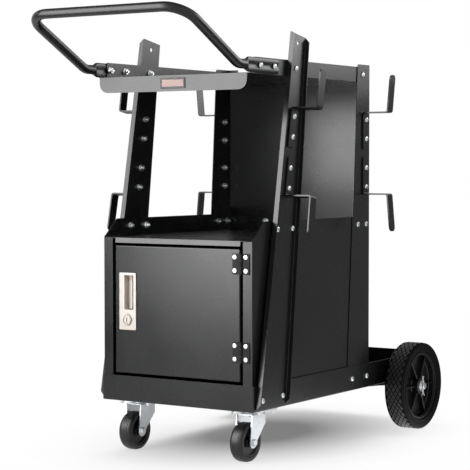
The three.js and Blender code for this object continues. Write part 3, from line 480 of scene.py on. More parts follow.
def rounded(points, steps=CORNER_STEPS):
    """A closed outline with corners eased by a smooth curve, from points (u, v, corner radius)."""
    outline = []
    for i, (u, v, radius) in enumerate(points):
        corner = Vector((u, v))
        before = (Vector(points[i - 1][:2]) - corner).normalized()
        after = (Vector(points[(i + 1) % len(points)][:2]) - corner).normalized()
        reach = radius / math.tan(before.angle(after) / 2)
        start = corner + before * reach
        end = corner + after * reach
        for step in range(steps + 1):
            t = step / steps
            outline.append(start * (1 - t) ** 2 + corner * (2 * t * (1 - t)) + end * t ** 2)
    return outline


def rectangle(width, height, corner, centre=(0, 0)):
    """A rectangle with round corners."""
    u, v = centre
    half_u = width / 2
    half_v = height / 2
    return rounded([
        (u - half_u, v - half_v, corner),
        (u + half_u, v - half_v, corner),
        (u + half_u, v + half_v, corner),
        (u - half_u, v + half_v, corner),
    ])


def ring_profile(inner, outer, low, high):
    """A ring with eased edges, for turning."""
    corners = ((inner, low), (outer, low), (outer, high), (inner, high))
    return rounded([(*corner, RING_EASE) for corner in corners], EASE_STEPS)


def bar_profile(radius, chamfer, low, high):
    """A round bar with chamfered ends, for turning."""
    return [
        (radius - chamfer, low),
        (radius, low + chamfer),
        (radius, high - chamfer),
        (radius - chamfer, high),
    ]


def lay(outline, level, origin, u, v):
    """An outline in millimetres, laid in the plane of u and v at a level above it."""
    up = u.cross(v)
    return [origin + (u * a + v * b + up * level) * MM for a, b in outline]


def slab(bm, width, height, corner, levels, ease, origin, u, v):
    """A plate with round corners and eased edges, between two levels over the plane of u and v."""
    full = rectangle(width, height, corner)
    small = rectangle(width - 2 * ease, height - 2 * ease, max(corner - ease, ease))
    low, high = levels
    loft(bm, [
        lay(small, low, origin, u, v),
        lay(full, low + ease, origin, u, v),
        lay(full, high - ease, origin, u, v),
        lay(small, high, origin, u, v),
    ])


def sweep(bm, points, radius, steps=WIRE_STEPS):
    """A round wire along a path of points."""
    loops = []
    across = None
    for i, point in enumerate(points):
        ahead = points[min(i + 1, len(points) - 1)] - points[max(i - 1, 0)]
        ahead.normalize()
        across = ahead.orthogonal() if across is None else across - ahead * across.dot(ahead)
        across.normalize()
        upward = ahead.cross(across)
        angles = [2 * math.pi * step / steps for step in range(steps)]
        loops.append([point + (across * math.cos(a) + upward * math.sin(a)) * radius for a in angles])
    loft(bm, loops)


def add_piece(name, bm, slot, body="frame", replaced=(), material=None, more_materials=()):
    """Makes a piece from a bmesh. It rides on a body and may stand for solids."""
    bmesh.ops.recalc_face_normals(bm, faces=bm.faces)
    mesh = bpy.data.meshes.new(name)
    bm.to_mesh(mesh)
    bm.free()
    mesh.shade_smooth()
    mesh.set_sharp_from_angle(angle=SMOOTH_LIMIT)
    for finish in (material or finishes[slot], *more_materials):
        mesh.materials.append(finish)
    piece = bpy.data.objects.new(name, mesh)
    bpy.context.scene.collection.objects.link(piece)
    shading = piece.modifiers.new("even_shading", "WEIGHTED_NORMAL")
    shading.keep_sharp = True
    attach(piece, body)
    if replaced:
        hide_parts(*replaced)
    return piece


# Folded sheet and flat bar

def fold(node, sheet, ease, bends=None):
    """The mesh of a sheet-metal solid with its folds bent to a radius and its cut edges eased."""
    outer_bend, inner_bend = bends or (BEND_INSIDE + sheet, BEND_INSIDE)
    bm = bmesh.new()
    bm.from_mesh(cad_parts[node].data)
    bmesh.ops.remove_doubles(bm, verts=bm.verts, dist=WELD_GAP * MM)
    bmesh.ops.dissolve_limit(bm, angle_limit=FLAT_LIMIT, verts=bm.verts, edges=bm.edges)
    # A face no wider than the sheet is a cut edge, and is marked through its material index.
    for face in bm.faces:
        width = 2 * face.calc_area() / face.calc_perimeter()
        face.material_index = int(width < CUT_FACE * sheet * MM)
    for edge in bm.edges:
        wide = [face for face in edge.link_faces if face.material_index == 0]
        folded = len(wide) == 2 and edge.calc_face_angle() > FOLD_LIMIT
        edge.smooth = not (folded and edge.is_convex)
        edge.seam = folded and not edge.is_convex
    bend(bm, [edge for edge in bm.edges if not edge.smooth], outer_bend)
    bend(bm, [edge for edge in bm.edges if edge.seam], inner_bend)
    for edge in bm.edges:
        edge.smooth = True
        edge.seam = False
    bend(bm, [edge for edge in bm.edges if is_cut_edge(edge)], ease, EASE_STEPS)
    for face in bm.faces:
        face.material_index = 0
    bmesh.ops.triangulate(bm, faces=[face for face in bm.faces if len(face.verts) > 4])
    return bm


def add_folded(node, sheet=PAN_SHEET, ease=CUT_EASE, bends=None, slot="powder_coat", body="frame"):
    """Dresses a sheet-metal solid with its own folded and eased shape."""
    add_piece(f"{node}_dressed", fold(node, sheet, ease, bends), slot, body, [node])


def shelf():
    """The shelf tray, whose front lip leans back a little."""
    bm = fold("shelf_tray", PAN_SHEET, CUT_EASE, TIGHT_BENDS)
    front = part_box("shelf_tray")[0].y
    for vertex in bm.verts:
        if vertex.co.y < front + 2 * PAN_SHEET * MM:
            rise = vertex.co.z - shelf_surface + SHELF_LIP * MM
            vertex.co.y += min(rise, SHELF_LIP * MM) * math.tan(SHELF_LIP_LEAN)
    add_piece("shelf_tray_dressed", bm, "powder_coat", replaced=["shelf_tray"])


def back_panel():
    """The back panel, raised against the tray's underside so that no light shows between them."""
    bm = fold("back_panel", PAN_SHEET, CUT_EASE)
    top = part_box("back_panel")[1].z
    for vertex in bm.verts:
        if vertex.co.z > top - PAN_SHEET * MM:
            vertex.co.z += (SEAT_GAP + CUT_EASE) * MM
    add_piece("back_panel_dressed", bm, "powder_coat", replaced=["back_panel"])


def is_cut_edge(edge):
    """Whether an edge lies between a cut edge of the sheet and one of its wide faces."""
    marks = [face.material_index for face in edge.link_faces]
    return len(marks) == 2 and sum(marks) == 1 and edge.calc_face_angle() > FOLD_LIMIT


def bend(bm, edges, radius, steps=BEND_STEPS):
    """Rounds edges to a radius."""
    if not edges:
        return
    bmesh.ops.bevel(
        bm, geom=edges, offset=radius * MM, offset_type="OFFSET", segments=steps, profile=BEND_PROFILE,
        affect="EDGES", clamp_overlap=True, material=-1,
    )


def make_sheet_pieces():
    shelf()
    back_panel()
    add_folded("base_tray")
    add_folded("top_tray", bends=TIGHT_BENDS)
    add_folded("door", body="door")
    for side, _ in SIDES:
        add_folded(f"{side}_side_panel")
        add_folded(f"rear_{side}_post")
        add_folded(f"front_{side}_post", FRONT_POST_SHEET)
        add_folded(f"{side}_axle_bracket", BAR, BAR_EASE)
        add_folded(f"{side}_caster_fork", BAR, BAR_EASE, slot="zinc_plate", body=f"{side}_caster")
        for end in ("front", "rear"):
            for level in ("upper", "lower"):
                add_folded(f"hook_{end}_{side}_{level}", BAR, BAR_EASE)
    add_folded("lock_cam", slot="zinc_plate", body="lock")


# Push handle

def handle_section(flatness, tube_radius):
    """Outline of the tube between round and pressed flat, as (across, upwards) in millimetres.

    The press leaves a groove along the middle, between two hollow edges."""
    tall = tube_radius + (FLAT_HEIGHT / 2 - tube_radius) * flatness
    section = []
    for step in range(ROUND_STEPS):
        angle = 2 * math.pi * step / ROUND_STEPS
        upwards = math.sin(angle)
        off_middle = (abs(upwards) - LOBE_MIDDLE) / (1 - LOBE_MIDDLE)
        lobe = math.sqrt(max(1 - off_middle ** 2, 0))
        pressed = lobe if off_middle > 0 else max(lobe, GROOVE_LEVEL)
        flat = math.copysign(pressed * FLAT_THICKNESS / 2, math.cos(angle))
        across = tube_radius * math.cos(angle) * (1 - flatness) + flat * flatness
        section.append((across, tall * upwards))
    return section


def push_handle():
    """One tube: flats bolted to the tray walls, a crimp, a bend up, two arms and the grip."""
    flat_x = tray_high.x / MM + SEAT_GAP + FLAT_THICKNESS / 2
    flat_z = tray_surface / MM + FLAT_RISE
    tray_front = tray_low.y / MM
    bend_y = tray_front - BEND_LEAD
    grip_y = bend_y - HANDLE_REACH
    tube_radius = grip_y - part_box("push_handle")[0].y / MM
    arm_angle = math.atan2(HANDLE_RISE, HANDLE_REACH)
    arm_length = math.hypot(HANDLE_RISE, HANDLE_REACH)
    stations = []

    def station(x, y, z, angle=0.0, swing=0.0, flatness=0.0, scale=1.0):
        stations.append((Vector((x, y, z)), angle, swing, flatness, scale))

    rear = base_low.y / MM + FLAT_REAR
    station(flat_x, rear, flat_z, flatness=1.0, scale=FLAT_END_SHARE)
    station(flat_x, rear - FLAT_END_EASE, flat_z, flatness=1.0)
    flat_end = tray_front - FLAT_LEAD
    for step in range(CRIMP_STEPS + 1):
        t = step / CRIMP_STEPS
        ease = t * t * (3 - 2 * t)
        station(flat_x, flat_end - CRIMP * t, flat_z, flatness=1 - ease)
    tangent = LOWER_BEND * math.tan(arm_angle / 2)
    for step in range(TUBE_STEPS + 1):
        angle = arm_angle * step / TUBE_STEPS
        y = bend_y + tangent - LOWER_BEND * math.sin(angle)
        z = flat_z + LOWER_BEND * (1 - math.cos(angle))
        station(flat_x, y, z, angle)
    for step in range(TUBE_STEPS + 1):
        swing = math.pi / 2 * step / TUBE_STEPS
        along = arm_length - GRIP_BEND * (1 - math.sin(swing))
        x = flat_x - GRIP_BEND * (1 - math.cos(swing))
        y = bend_y - along * math.cos(arm_angle)
        z = flat_z + along * math.sin(arm_angle)
        station(x, y, z, arm_angle, swing)
    for place, angle, swing, flatness, scale in reversed(stations[:]):
        stations.append((Vector((-place.x, place.y, place.z)), angle, math.pi - swing, flatness, scale))

    loops = []
    for place, angle, swing, flatness, scale in stations:
        upward = Vector((0, math.sin(angle), math.cos(angle)))
        forward = Vector((0, -math.cos(angle), math.sin(angle)))
        across = X * math.cos(swing) + forward * math.sin(swing)
        section = handle_section(flatness, tube_radius)
        loops.append([(place + (across * a + upward * b) * scale) * MM for a, b in section])
    bm = bmesh.new()
    loft(bm, loops)
    add_piece("push_handle_tube", bm, "powder_coat", "frame", ["push_handle"], finishes["tube_coat"])


# Bolts and screws

def add_head(bm, seat, outward, diameter, height, socket):
    """The part of a bolt's or a screw's head that stands on a surface, with its hexagon socket."""
    profile = [(diameter / 2 * width, height * level) for width, level in HEAD_CROWN]
    profile += [(socket / 2, height * level, HEXAGON) for level in (1.0, SOCKET_FLOOR)]
    turn(bm, profile, seat, outward, SMALL_STEPS)


def add_nut(bm, seat, outward):
    """A hexagon flange nut on a surface, with the end of its bolt."""
    flat = NUT_FLATS / 2
    thread = BOLT / 2
    end = NUT_HEIGHT + BOLT_END
    profile = [
        (NUT_FLANGE / 2, 0),
        (NUT_FLANGE / 2, NUT_FLANGE_HEIGHT),
        (flat, NUT_FLANGE_HEIGHT + NUT_FLANGE_CONE, HEXAGON),
        (flat, NUT_HEIGHT - NUT_CHAMFER, HEXAGON),
        (flat, NUT_HEIGHT),
        (thread, NUT_HEIGHT),
        (thread, end - NUT_CHAMFER),
        (thread - NUT_CHAMFER, end),
    ]
    turn(bm, profile, seat, outward, SMALL_STEPS)


def add_bolt(bm, seat, outward, grip):
    """A bolt with its head on one surface and its nut behind the sheets that it clamps."""
    add_head(bm, seat, outward, BOLT_HEAD, BOLT_HEAD_HEIGHT, BOLT_SOCKET)
    add_nut(bm, seat - outward * grip, -outward)


def front_post_face(z):
    """Distance of a front post's inner face from the cart's middle, at a height."""
    lean = (base_high.x - tray_high.x) / (tray_high.z - base_high.z)
    return base_high.x + SEAT_GAP * MM - (z - base_high.z) * lean


def front_post_middle(z):
    """Place along the cart of a front post's centre line, at a height."""
    low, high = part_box("front_right_post")
    foot = low.y + POST_FOOT_DEPTH / 2 * MM
    head = high.y - POST_HEAD_DEPTH / 2 * MM
    return foot + (head - foot) * (z - low.z) / (high.z - low.z)


def bolt_seats():
    """Bolts of one side by group: place along the cart, height, and how far out head and nut sit."""
    cabinet_inner = tray_high.x - PAN_SHEET * MM
    shelf_inner = cabinet_inner - (SEAT_GAP + PAN_SHEET) * MM
    flat_outer = tray_high.x + (2 * SEAT_GAP + FLAT_THICKNESS) * MM
    rear_post_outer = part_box("rear_right_post")[1].x
    rear_post_inner = rear_post_outer - PAN_SHEET * MM
    hook_seat = (SEAT_GAP + BAR) * MM
    tray_level = tray_surface + FLAT_RISE * MM
    shelf_level = shelf_surface + SHELF_BOLT_RISE * MM
    seats = {group: [] for group in ("tray", "shelf", "base", "hook", "handle")}

    def clamp(group, along, z, head, nut):
        seats[group].append((along, z, head, nut))

    def along_base(y):
        return base_low.y + y * MM

    def front_post_outer(z):
        return front_post_face(z) + FRONT_POST_SHEET * MM

    clamp("tray", front_post_middle(tray_level), tray_level, front_post_outer(tray_level), cabinet_inner)
    clamp("tray", along_base(REAR_TRAY_BOLT), tray_level, rear_post_outer, cabinet_inner)
    for y in SHELF_BOLTS:
        clamp("shelf", along_base(y), shelf_level, front_post_outer(shelf_level), shelf_inner)
    for y in SHELF_REAR_BOLTS:
        clamp("shelf", along_base(y), shelf_level, rear_post_outer, shelf_inner)
    for y, rise in BASE_BOLTS:
        z = base_low.z + rise * MM
        clamp("base", along_base(y), z, front_post_outer(z), cabinet_inner)
    for y, rise in APRON_BOLTS:
        clamp("base", along_base(y), base_low.z + rise * MM, base_high.x, cabinet_inner)
    for level, down in (("upper", -1), ("lower", 1)):
        rear_low, rear_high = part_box(f"hook_rear_right_{level}")
        for reach in HOOK_BOLTS:
            z = hook_arm[level] + down * reach * MM
            clamp("hook", front_post_middle(z), z, front_post_outer(z) + hook_seat, front_post_face(z))
            clamp("hook", (rear_low.y + rear_high.y) / 2, z, rear_post_outer + hook_seat, rear_post_inner)
    for y in HANDLE_BOLTS:
        clamp("handle", along_base(y), tray_level, flat_outer, cabinet_inner)
    return seats


def make_bolts():
    for side, sign in SIDES:
        stands_for = {"handle": [f"{side}_handle_bolt_{end}" for end in ("front", "rear")]}
        for group, seats in bolt_seats().items():
            bm = bmesh.new()
            for along, z, head, nut in seats:
                add_bolt(bm, Vector((sign * head, along, z)), X * sign, head - nut)
            add_piece(f"{side}_{group}_bolts", bm, "zinc_plate", replaced=stands_for.get(group, ()))

    back_low, back_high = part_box("back_panel")
    grip = back_high.y - back_low.y + (SEAT_GAP + PAN_SHEET) * MM
    shelf_level = shelf_surface + SHELF_BOLT_RISE * MM
    bm = bmesh.new()
    for _, sign in SIDES:
        add_bolt(bm, Vector((sign * SHELF_BACK_BOLT * MM, back_high.y, shelf_level)), Y, grip)
    add_piece("shelf_back_bolts", bm, "zinc_plate")


# Rear wheels

def tread_point(spot, height, tyre_radius, half_width):
    """Radius and place across a tyre, for a distance over its tread and a height on it."""
    bulge = max(abs(spot) - TREAD_CENTRE, 0) / SHOULDER
    flat = min(abs(spot), TREAD_CENTRE)
    radius = tyre_radius - SHOULDER + (SHOULDER - TREAD_HEIGHT + height) * math.cos(bulge)
    across = flat + (SHOULDER - TREAD_HEIGHT + height) * math.sin(bulge)
    return radius, half_width + math.copysign(across, spot)


def wheel_place(side, sign):
    """A rear wheel's inner side on the axle, the way outwards and its width in millimetres."""
    low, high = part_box(f"{side}_wheel_tyre")
    inner = min(abs(low.x), abs(high.x))
    return Vector((sign * inner, axle_centre.y, axle_centre.z)), X * sign, (high.x - low.x) / MM


def rib_corners(crest, foot):
    """A rib's section: sunk in the web, tapered, with a bevelled crest."""
    half = [(RIB_ROOT / 2, foot), (RIB_CREST / 2, crest - RIB_BEVEL), (RIB_CREST / 2 - RIB_BEVEL, crest)]
    return [(-across, level) for across, level in half] + list(reversed(half))


def wheel_tyre(side, sign):
    """A tyre with diamond tread blocks between two smooth shoulder rings."""
    origin, outward, width = wheel_place(side, sign)
    half_width = width / 2
    radius = axle_centre.z / MM
    bead = radius - RIM_DEPTH + SEAT_GAP

    sidewall = [(bead + rise, inset) for rise, inset in SIDEWALL]
    ring_step = (RING_REACH - TREAD_REACH) / (RING_POINTS - 1)
    ring = [(step * ring_step - RING_REACH, TREAD_HEIGHT) for step in range(RING_POINTS)]
    floor = [(TREAD_REACH * step / TREAD_SPOTS, 0) for step in range(-TREAD_SPOTS, TREAD_SPOTS + 1)]
    outline = ring + floor + [(-spot, height) for spot, height in reversed(ring)]
    crown = [tread_point(spot, height, radius, half_width) for spot, height in outline]
    mirrored = [(r, width - along) for r, along in reversed(sidewall)]
    bm = turned(sidewall + crown + mirrored, origin, outward, TYRE_STEPS, closed=True)
    carcass_faces = len(bm.faces)

    column = math.pi / TREAD_COLUMNS
    row = TREAD_REACH / (TREAD_ROWS + 1)
    for k in range(-TREAD_ROWS, TREAD_ROWS + 1):
        for i in range(k % 2, 2 * TREAD_COLUMNS, 2):
            loops = []
            for share, height in ((BLOCK_FOOT, -BLOCK_ROOT), (BLOCK_TOP, TREAD_HEIGHT)):
                loop = []
                for turn_share, row_share in ((-1, 0), (0, -1), (1, 0), (0, 1)):
                    angle = (i + turn_share * share) * column
                    spot = (k + row_share * share) * row
                    r, along = tread_point(spot, height, radius, half_width)
                    spoke = Y * math.cos(angle) + Z * math.sin(angle)
                    loop.append(origin + (outward * along + spoke * r) * MM)
                loops.append(loop)
            loft(bm, loops)
    # Painted highlight: the tread blocks take the lighter copy of the rubber, the grooves and sidewalls the
    # dark one.
    bm.faces.ensure_lookup_table()
    for face in bm.faces[carcass_faces:]:
        face.material_index = 1
    add_piece(f"{side}_tyre_with_tread", bm, "tyre_rubber", f"{side}_wheel", [f"{side}_wheel_tyre"],
              more_materials=[finishes["painted_lit_tread"]])


def wheel_rim(side, sign):
    """A dished moulded rim with tapered ribs round its hub."""
    origin, outward, width = wheel_place(side, sign)
    rim = axle_centre.z / MM - RIM_DEPTH
    barrel = rim - RIM_WALL
    lip = rim - RIM_LIP
    waist = barrel - RIM_DRAFT
    bore = AXLE / 2 + WHEEL_CLEARANCE
    hub = AXLE / 2 + HUB_WALL
    web_in = (width - RIM_WEB) / 2
    web_out = web_in + RIM_WEB
    outer = width - RIM_LIP_INSET
    profile = rounded([
        (bore, 0, RING_EASE),
        (hub, 0, HUB_EASE),
        (hub, web_in, RIM_FILLET),
        (waist, web_in, RIM_FILLET),
        (barrel, RIM_LIP_INSET, RIM_EASE),
        (rim, RIM_LIP_INSET, RING_EASE),
        (rim, outer, RIM_EASE),
        (lip, outer, RIM_EASE),
        (lip, outer - RIM_STEP, RING_EASE),
        (barrel, outer - RIM_STEP, RIM_EASE),
        (waist, web_out, RIM_FILLET),
        (hub, web_out, RIM_FILLET),
        (hub, outer, HUB_EASE),
        (bore, outer, HUB_EASE),
    ], FINE_CORNER_STEPS)
    bm = turned(profile, origin, outward, ROUND_STEPS * 2, closed=True)
    foot = web_out - RIB_SINK
    third = (barrel - hub) / 3
    reaches = (hub - RIB_SINK, hub + third, barrel - third, barrel + RIB_SINK)
    for i in range(RIB_COUNT):
        angle = 2 * math.pi * i / RIB_COUNT
        spoke = Y * math.cos(angle) + Z * math.sin(angle)
        across = outward.cross(spoke)
        loops = []
        for reach, drop in zip(reaches, RIB_DROPS):
            corners = rib_corners(outer - drop, foot)
            loops.append([origin + (spoke * reach + across * a + outward * b) * MM for a, b in corners])
        loft(bm, loops)
    add_piece(f"{side}_ribbed_rim", bm, "moulded_plastic", f"{side}_wheel", [f"{side}_wheel_rim"])


def axle_parts():
    """The axle with the spacers, washers and split pins on it."""
    half = (axle_high.x - axle_low.x) / 2 / MM
    bar = turned(bar_profile(AXLE / 2, AXLE_CHAMFER, -half, half), axle_centre, X)
    add_piece("axle_bar", bar, "zinc_plate", replaced=["rear_axle"])
    for side, _ in SIDES:
        axle_ring(f"{side}_axle_spacer", f"{side}_spacer_tube")
        axle_ring(f"{side}_wheel_washer", f"{side}_washer")
        cotter_pin(side)


def axle_ring(node, name):
    """A ring round the axle with eased edges."""
    low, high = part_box(node)
    outer = (high.z - low.z) / 2 / MM
    profile = ring_profile(AXLE / 2 + SEAT_GAP, outer, 0, (high.x - low.x) / MM)
    start = Vector((low.x, axle_centre.y, axle_centre.z))
    add_piece(name, turned(profile, start, X, closed=True), "zinc_plate", replaced=[node])


def cotter_pin(side):
    """A split pin: one wire doubled back through the axle, with an eye above and two bent legs below."""
    low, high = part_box(f"{side}_split_pin")
    middle = (low + high) / 2
    wire = COTTER_WIRE / 2
    eye_z = high.z / MM - COTTER_EYE - wire
    tip_z = low.z / MM + wire
    knee, knee_rise = COTTER_KNEE
    leg_z = axle_centre.z / MM - AXLE / 2 - COTTER_LEG
    neck_z = eye_z - COTTER_EYE - wire
    path = [(-COTTER_TIP, tip_z), (-knee, tip_z + knee_rise), (-wire, leg_z), (-wire, neck_z)]
    for step in range(COTTER_EYE_STEPS + 1):
        angle = COTTER_EYE_OPENING + (math.pi - COTTER_EYE_OPENING) * step / COTTER_EYE_STEPS
        path.append((-COTTER_EYE * math.sin(angle), eye_z - COTTER_EYE * math.cos(angle)))
    path += [(-y, z) for y, z in reversed(path[:-1])]
    bm = bmesh.new()
    sweep(bm, [Vector((middle.x, middle.y + y * MM, z * MM)) for y, z in path], wire * MM)
    add_piece(f"{side}_cotter_pin", bm, "zinc_plate", replaced=[f"{side}_split_pin"])


# Swivel casters

def both_ends(half):
    """A profile of points (radius, place, corner) that is the same towards both ends of its axis."""
    return [(radius, -along, corner) for radius, along, corner in half] + list(reversed(half))


def caster(side):
    """Plate and ball race, plate nuts, king pin, tyre, hub and axle bolt of one caster."""
    plate_low, plate_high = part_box(f"{side}_caster_plate")
    plate_middle = (plate_low + plate_high) / 2
    swivel = Vector((plate_middle.x, plate_middle.y, plate_high.z))
    seam = -CASTER_PLATE_THICKNESS - RACE_CUP
    bottom = (plate_low.z - plate_high.z) / MM
    race = [
        (RACE / 2, -CASTER_PLATE_THICKNESS),
        (RACE / 2, seam),
        (RACE / 2 - RACE_SEAM, seam - RACE_SEAM / 2),
        (RACE / 2, seam - RACE_SEAM),
        (RACE / 2, bottom + BAR_EASE),
        (RACE / 2 - BAR_EASE, bottom),
    ]
    bm = bmesh.new()
    slab(bm, *CASTER_PLATE, CASTER_PLATE_CORNER, (-CASTER_PLATE_THICKNESS, 0), BAR_EASE, swivel, X, Y)
    turn(bm, race, swivel, Z)
    add_piece(f"{side}_caster_top", bm, "zinc_plate", replaced=[f"{side}_caster_plate"])

    nuts = bmesh.new()
    for x, y in CASTER_BOLT_PLACES:
        add_nut(nuts, swivel + Vector((x, y, -CASTER_PLATE_THICKNESS)) * MM, -Z)
    add_piece(f"{side}_caster_plate_nuts", nuts, "zinc_plate")

    pin_low, pin_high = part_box(f"{side}_caster_kingpin")
    head = (pin_high.x - pin_low.x) / 2 / MM
    pin = [
        (head - KINGPIN_CHAMFER, 0),
        (head, KINGPIN_CHAMFER),
        (head, KINGPIN_HEAD_HEIGHT),
        (KINGPIN / 2, KINGPIN_HEAD_HEIGHT),
        (KINGPIN / 2, (pin_high.z - pin_low.z) / MM),
    ]
    bm = turned(pin, Vector((swivel.x, swivel.y, pin_low.z)), Z)
    add_piece(f"{side}_king_pin", bm, "zinc_plate", replaced=[f"{side}_caster_kingpin"])

    caster_wheel(side)
    caster_bolt(side)


def caster_wheel(side):
    """A hard tyre with a raised tread band, on a moulded hub."""
    body = f"{side}_caster_wheel"
    tyre_low, tyre_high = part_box(f"{side}_caster_tyre")
    hub_low, hub_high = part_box(f"{side}_caster_hub")
    centre = (tyre_low + tyre_high) / 2
    radius = centre.z / MM
    half = (tyre_high.x - tyre_low.x) / 2 / MM
    rim = (hub_high.z - hub_low.z) / 2 / MM
    bead = rim + SEAT_GAP
    shoulder = radius - CASTER_TREAD_STEP
    band = half - CASTER_TREAD_INSET
    tyre = rounded(both_ends([
        (bead, half - CASTER_BEAD, RING_EASE),
        (bead + CASTER_BEAD, half, CASTER_BEAD / 2),
        (shoulder, half, CASTER_SHOULDER),
        (shoulder, band + CASTER_TREAD_STEP, RING_EASE),
        (radius, band, RING_EASE),
    ]), FINE_CORNER_STEPS)
    bm = turned(tyre, centre, X, TYRE_STEPS, closed=True)
    stands_for = [f"{side}_caster_tyre"]
    add_piece(f"{side}_caster_tread", bm, "tyre_rubber", body, stands_for, finishes["caster_rubber"])

    boss = (hub_high.x - hub_low.x) / 2 / MM
    web = half - CASTER_WEB_INSET
    edge = half - CASTER_RIM_INSET
    hub = rounded(both_ends([
        (CASTER_BORE / 2, boss, RING_EASE),
        (CASTER_BOSS / 2, boss, BAR_EASE),
        (CASTER_BOSS / 2, web, CASTER_RIM_INSET),
        (rim - CASTER_RIM_WALL, web, CASTER_RIM_INSET),
        (rim - CASTER_RIM_WALL, edge, BAR_EASE),
        (rim, edge, RING_EASE),
    ]), FINE_CORNER_STEPS)
    bm = turned(hub, centre, X, closed=True)
    add_piece(f"{side}_caster_core", bm, "moulded_plastic", body, [f"{side}_caster_hub"])


def caster_bolt(side):
    """The wheel's axle bolt, with a hexagon on each fork leg."""
    low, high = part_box(f"{side}_caster_bolt")
    centre = (low + high) / 2
    end = (high.x - low.x) / 2 / MM
    seat = end - CASTER_BOLT_HEAD
    bm = turned([(CASTER_BOLT / 2, -seat), (CASTER_BOLT / 2, seat)], centre, X, SMALL_STEPS)
    flat = CASTER_BOLT_FLATS / 2
    head = [
        (flat, seat, HEXAGON),
        (flat, end - CASTER_BOLT_CHAMFER, HEXAGON),
        (flat - CASTER_BOLT_CHAMFER, end),
    ]
    for _, sign in SIDES:
        turn(bm, head, centre, X * sign, SMALL_STEPS)
    add_piece(f"{side}_caster_axle_bolt", bm, "zinc_plate", f"{side}_caster", [f"{side}_caster_bolt"])


# Hinges, latch, lock and badge

def hinge(level):
    """A butt hinge: two leaves with knuckles and screws, and a wire pin."""
    pin_low, pin_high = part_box(f"{level}_hinge_pin")
    axis = (pin_low + pin_high) / 2
    leaf_back = (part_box("door")[0].y - axis.y) / MM - SEAT_GAP
    leaf_front = leaf_back - HINGE_LEAF
    knuckle = (HINGE_HEIGHT - (KNUCKLES - 1) * KNUCKLE_GAP) / KNUCKLES
    half = HINGE_HEIGHT / 2
    near = KNUCKLE / 2 + KNUCKLE_GAP
    width = HINGE_LEAF_EDGE - near
    spans = {
        "frame": ((-half, knuckle - half), (half - knuckle, half)),
        "door": ((-knuckle / 2, knuckle / 2),),
    }
    for body, sign in (("frame", 1), ("door", -1)):
        bm = bmesh.new()
        origin = axis + (X * sign * (near + width / 2) + Y * leaf_back) * MM
        slab(bm, width, HINGE_HEIGHT, HINGE_CORNER, (0, HINGE_LEAF), HINGE_EASE, origin, X, Z)
        for low, high in spans[body]:
            barrel = ring_profile(KNUCKLE_BORE / 2, KNUCKLE / 2, low, high)
            turn(bm, barrel, axis, Z, SMALL_STEPS, closed=True)
            reach = (near + HINGE_CORNER) / 2 + KNUCKLE_GAP
            tongue = axis + (X * sign * reach + Y * leaf_back + Z * (low + high) / 2) * MM
            slab(bm, near, high - low, RING_EASE, (0, HINGE_LEAF), RING_EASE / 2, tongue, X, Z)
        name = f"{level}_hinge_{body}"
        add_piece(f"{name}_plate", bm, "powder_coat", body, [f"{name}_leaf"], finishes["hinge_coat"])
        screws = bmesh.new()
        for rise in (-HINGE_SCREW_RISE, HINGE_SCREW_RISE):
            seat = axis + (X * sign * HINGE_SCREW_REACH[body] + Y * leaf_front + Z * rise) * MM
            add_head(screws, seat, -Y, SCREW_HEAD, SCREW_HEAD_HEIGHT, SCREW_SOCKET)
        add_piece(f"{name}_screws", screws, "zinc_plate", body)
    wire = turned(bar_profile(HINGE_PIN / 2, HINGE_PIN_CHAMFER, -half, half), axis, Z, SMALL_STEPS)
    add_piece(f"{level}_hinge_wire", wire, "zinc_plate", replaced=[f"{level}_hinge_pin"])


def latch():
    """A face plate with a finger recess whose wall on the hinge side slopes in."""
    low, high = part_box("latch_plate")
    width = (high.x - low.x) / MM
    height = (high.z - low.z) / MM
    origin = Vector(((low.x + high.x) / 2, low.y + LATCH_THICKNESS * MM, (low.z + high.z) / 2))
    front = LATCH_THICKNESS
    floor = front - PULL_DEPTH

    def plate(inset, level):
        corner = max(LATCH_CORNER - inset, RING_EASE)
        return rectangle(width - 2 * inset, height - 2 * inset, corner), level

    def recess(outset, level):
        centre = (PULL_SHIFT, PULL_RISE)
        size = (PULL_WIDTH + 2 * outset, PULL_HEIGHT + 2 * outset)
        return rectangle(*size, PULL_CORNER + max(outset, 0), centre), level

    well_width = PULL_WIDTH - PULL_SLOPE - PULL_DRAFT
    well_height = PULL_HEIGHT - PULL_LOWER_SLOPE - PULL_DRAFT
    well_u = PULL_SHIFT - (PULL_SLOPE - PULL_DRAFT) / 2
    well_v = PULL_RISE + (PULL_LOWER_SLOPE - PULL_DRAFT) / 2
    well = rectangle(well_width, well_height, PULL_CORNER, (well_u, well_v))
    steps = [
        recess(PULL_WALL, floor - PULL_WALL),
        recess(PULL_WALL, 0),
        plate(0, 0),
        plate(0, front - LATCH_BEVEL),
        plate(LATCH_BEVEL * ROLL_MIDDLE, front - LATCH_BEVEL * ROLL_MIDDLE),
        plate(LATCH_BEVEL, front),
        recess(PULL_ROLL, front),
        recess(PULL_ROLL * ROLL_MIDDLE, front - PULL_ROLL * ROLL_MIDDLE),
        recess(0, front - PULL_ROLL),
        (well, floor),
    ]
    bm = bmesh.new()
    loft(bm, [lay(outline, level, origin, X, Z) for outline, level in steps])
    screw = origin + (X * well_u + Z * (PULL_RISE + PULL_SCREW_RISE) - Y * floor) * MM
    add_head(bm, screw, -Y, PULL_SCREW_HEAD, PULL_SCREW_HEIGHT, PULL_SCREW_SOCKET)
    add_piece("latch_with_recess", bm, "satin_nickel", "door", ["latch_plate"])


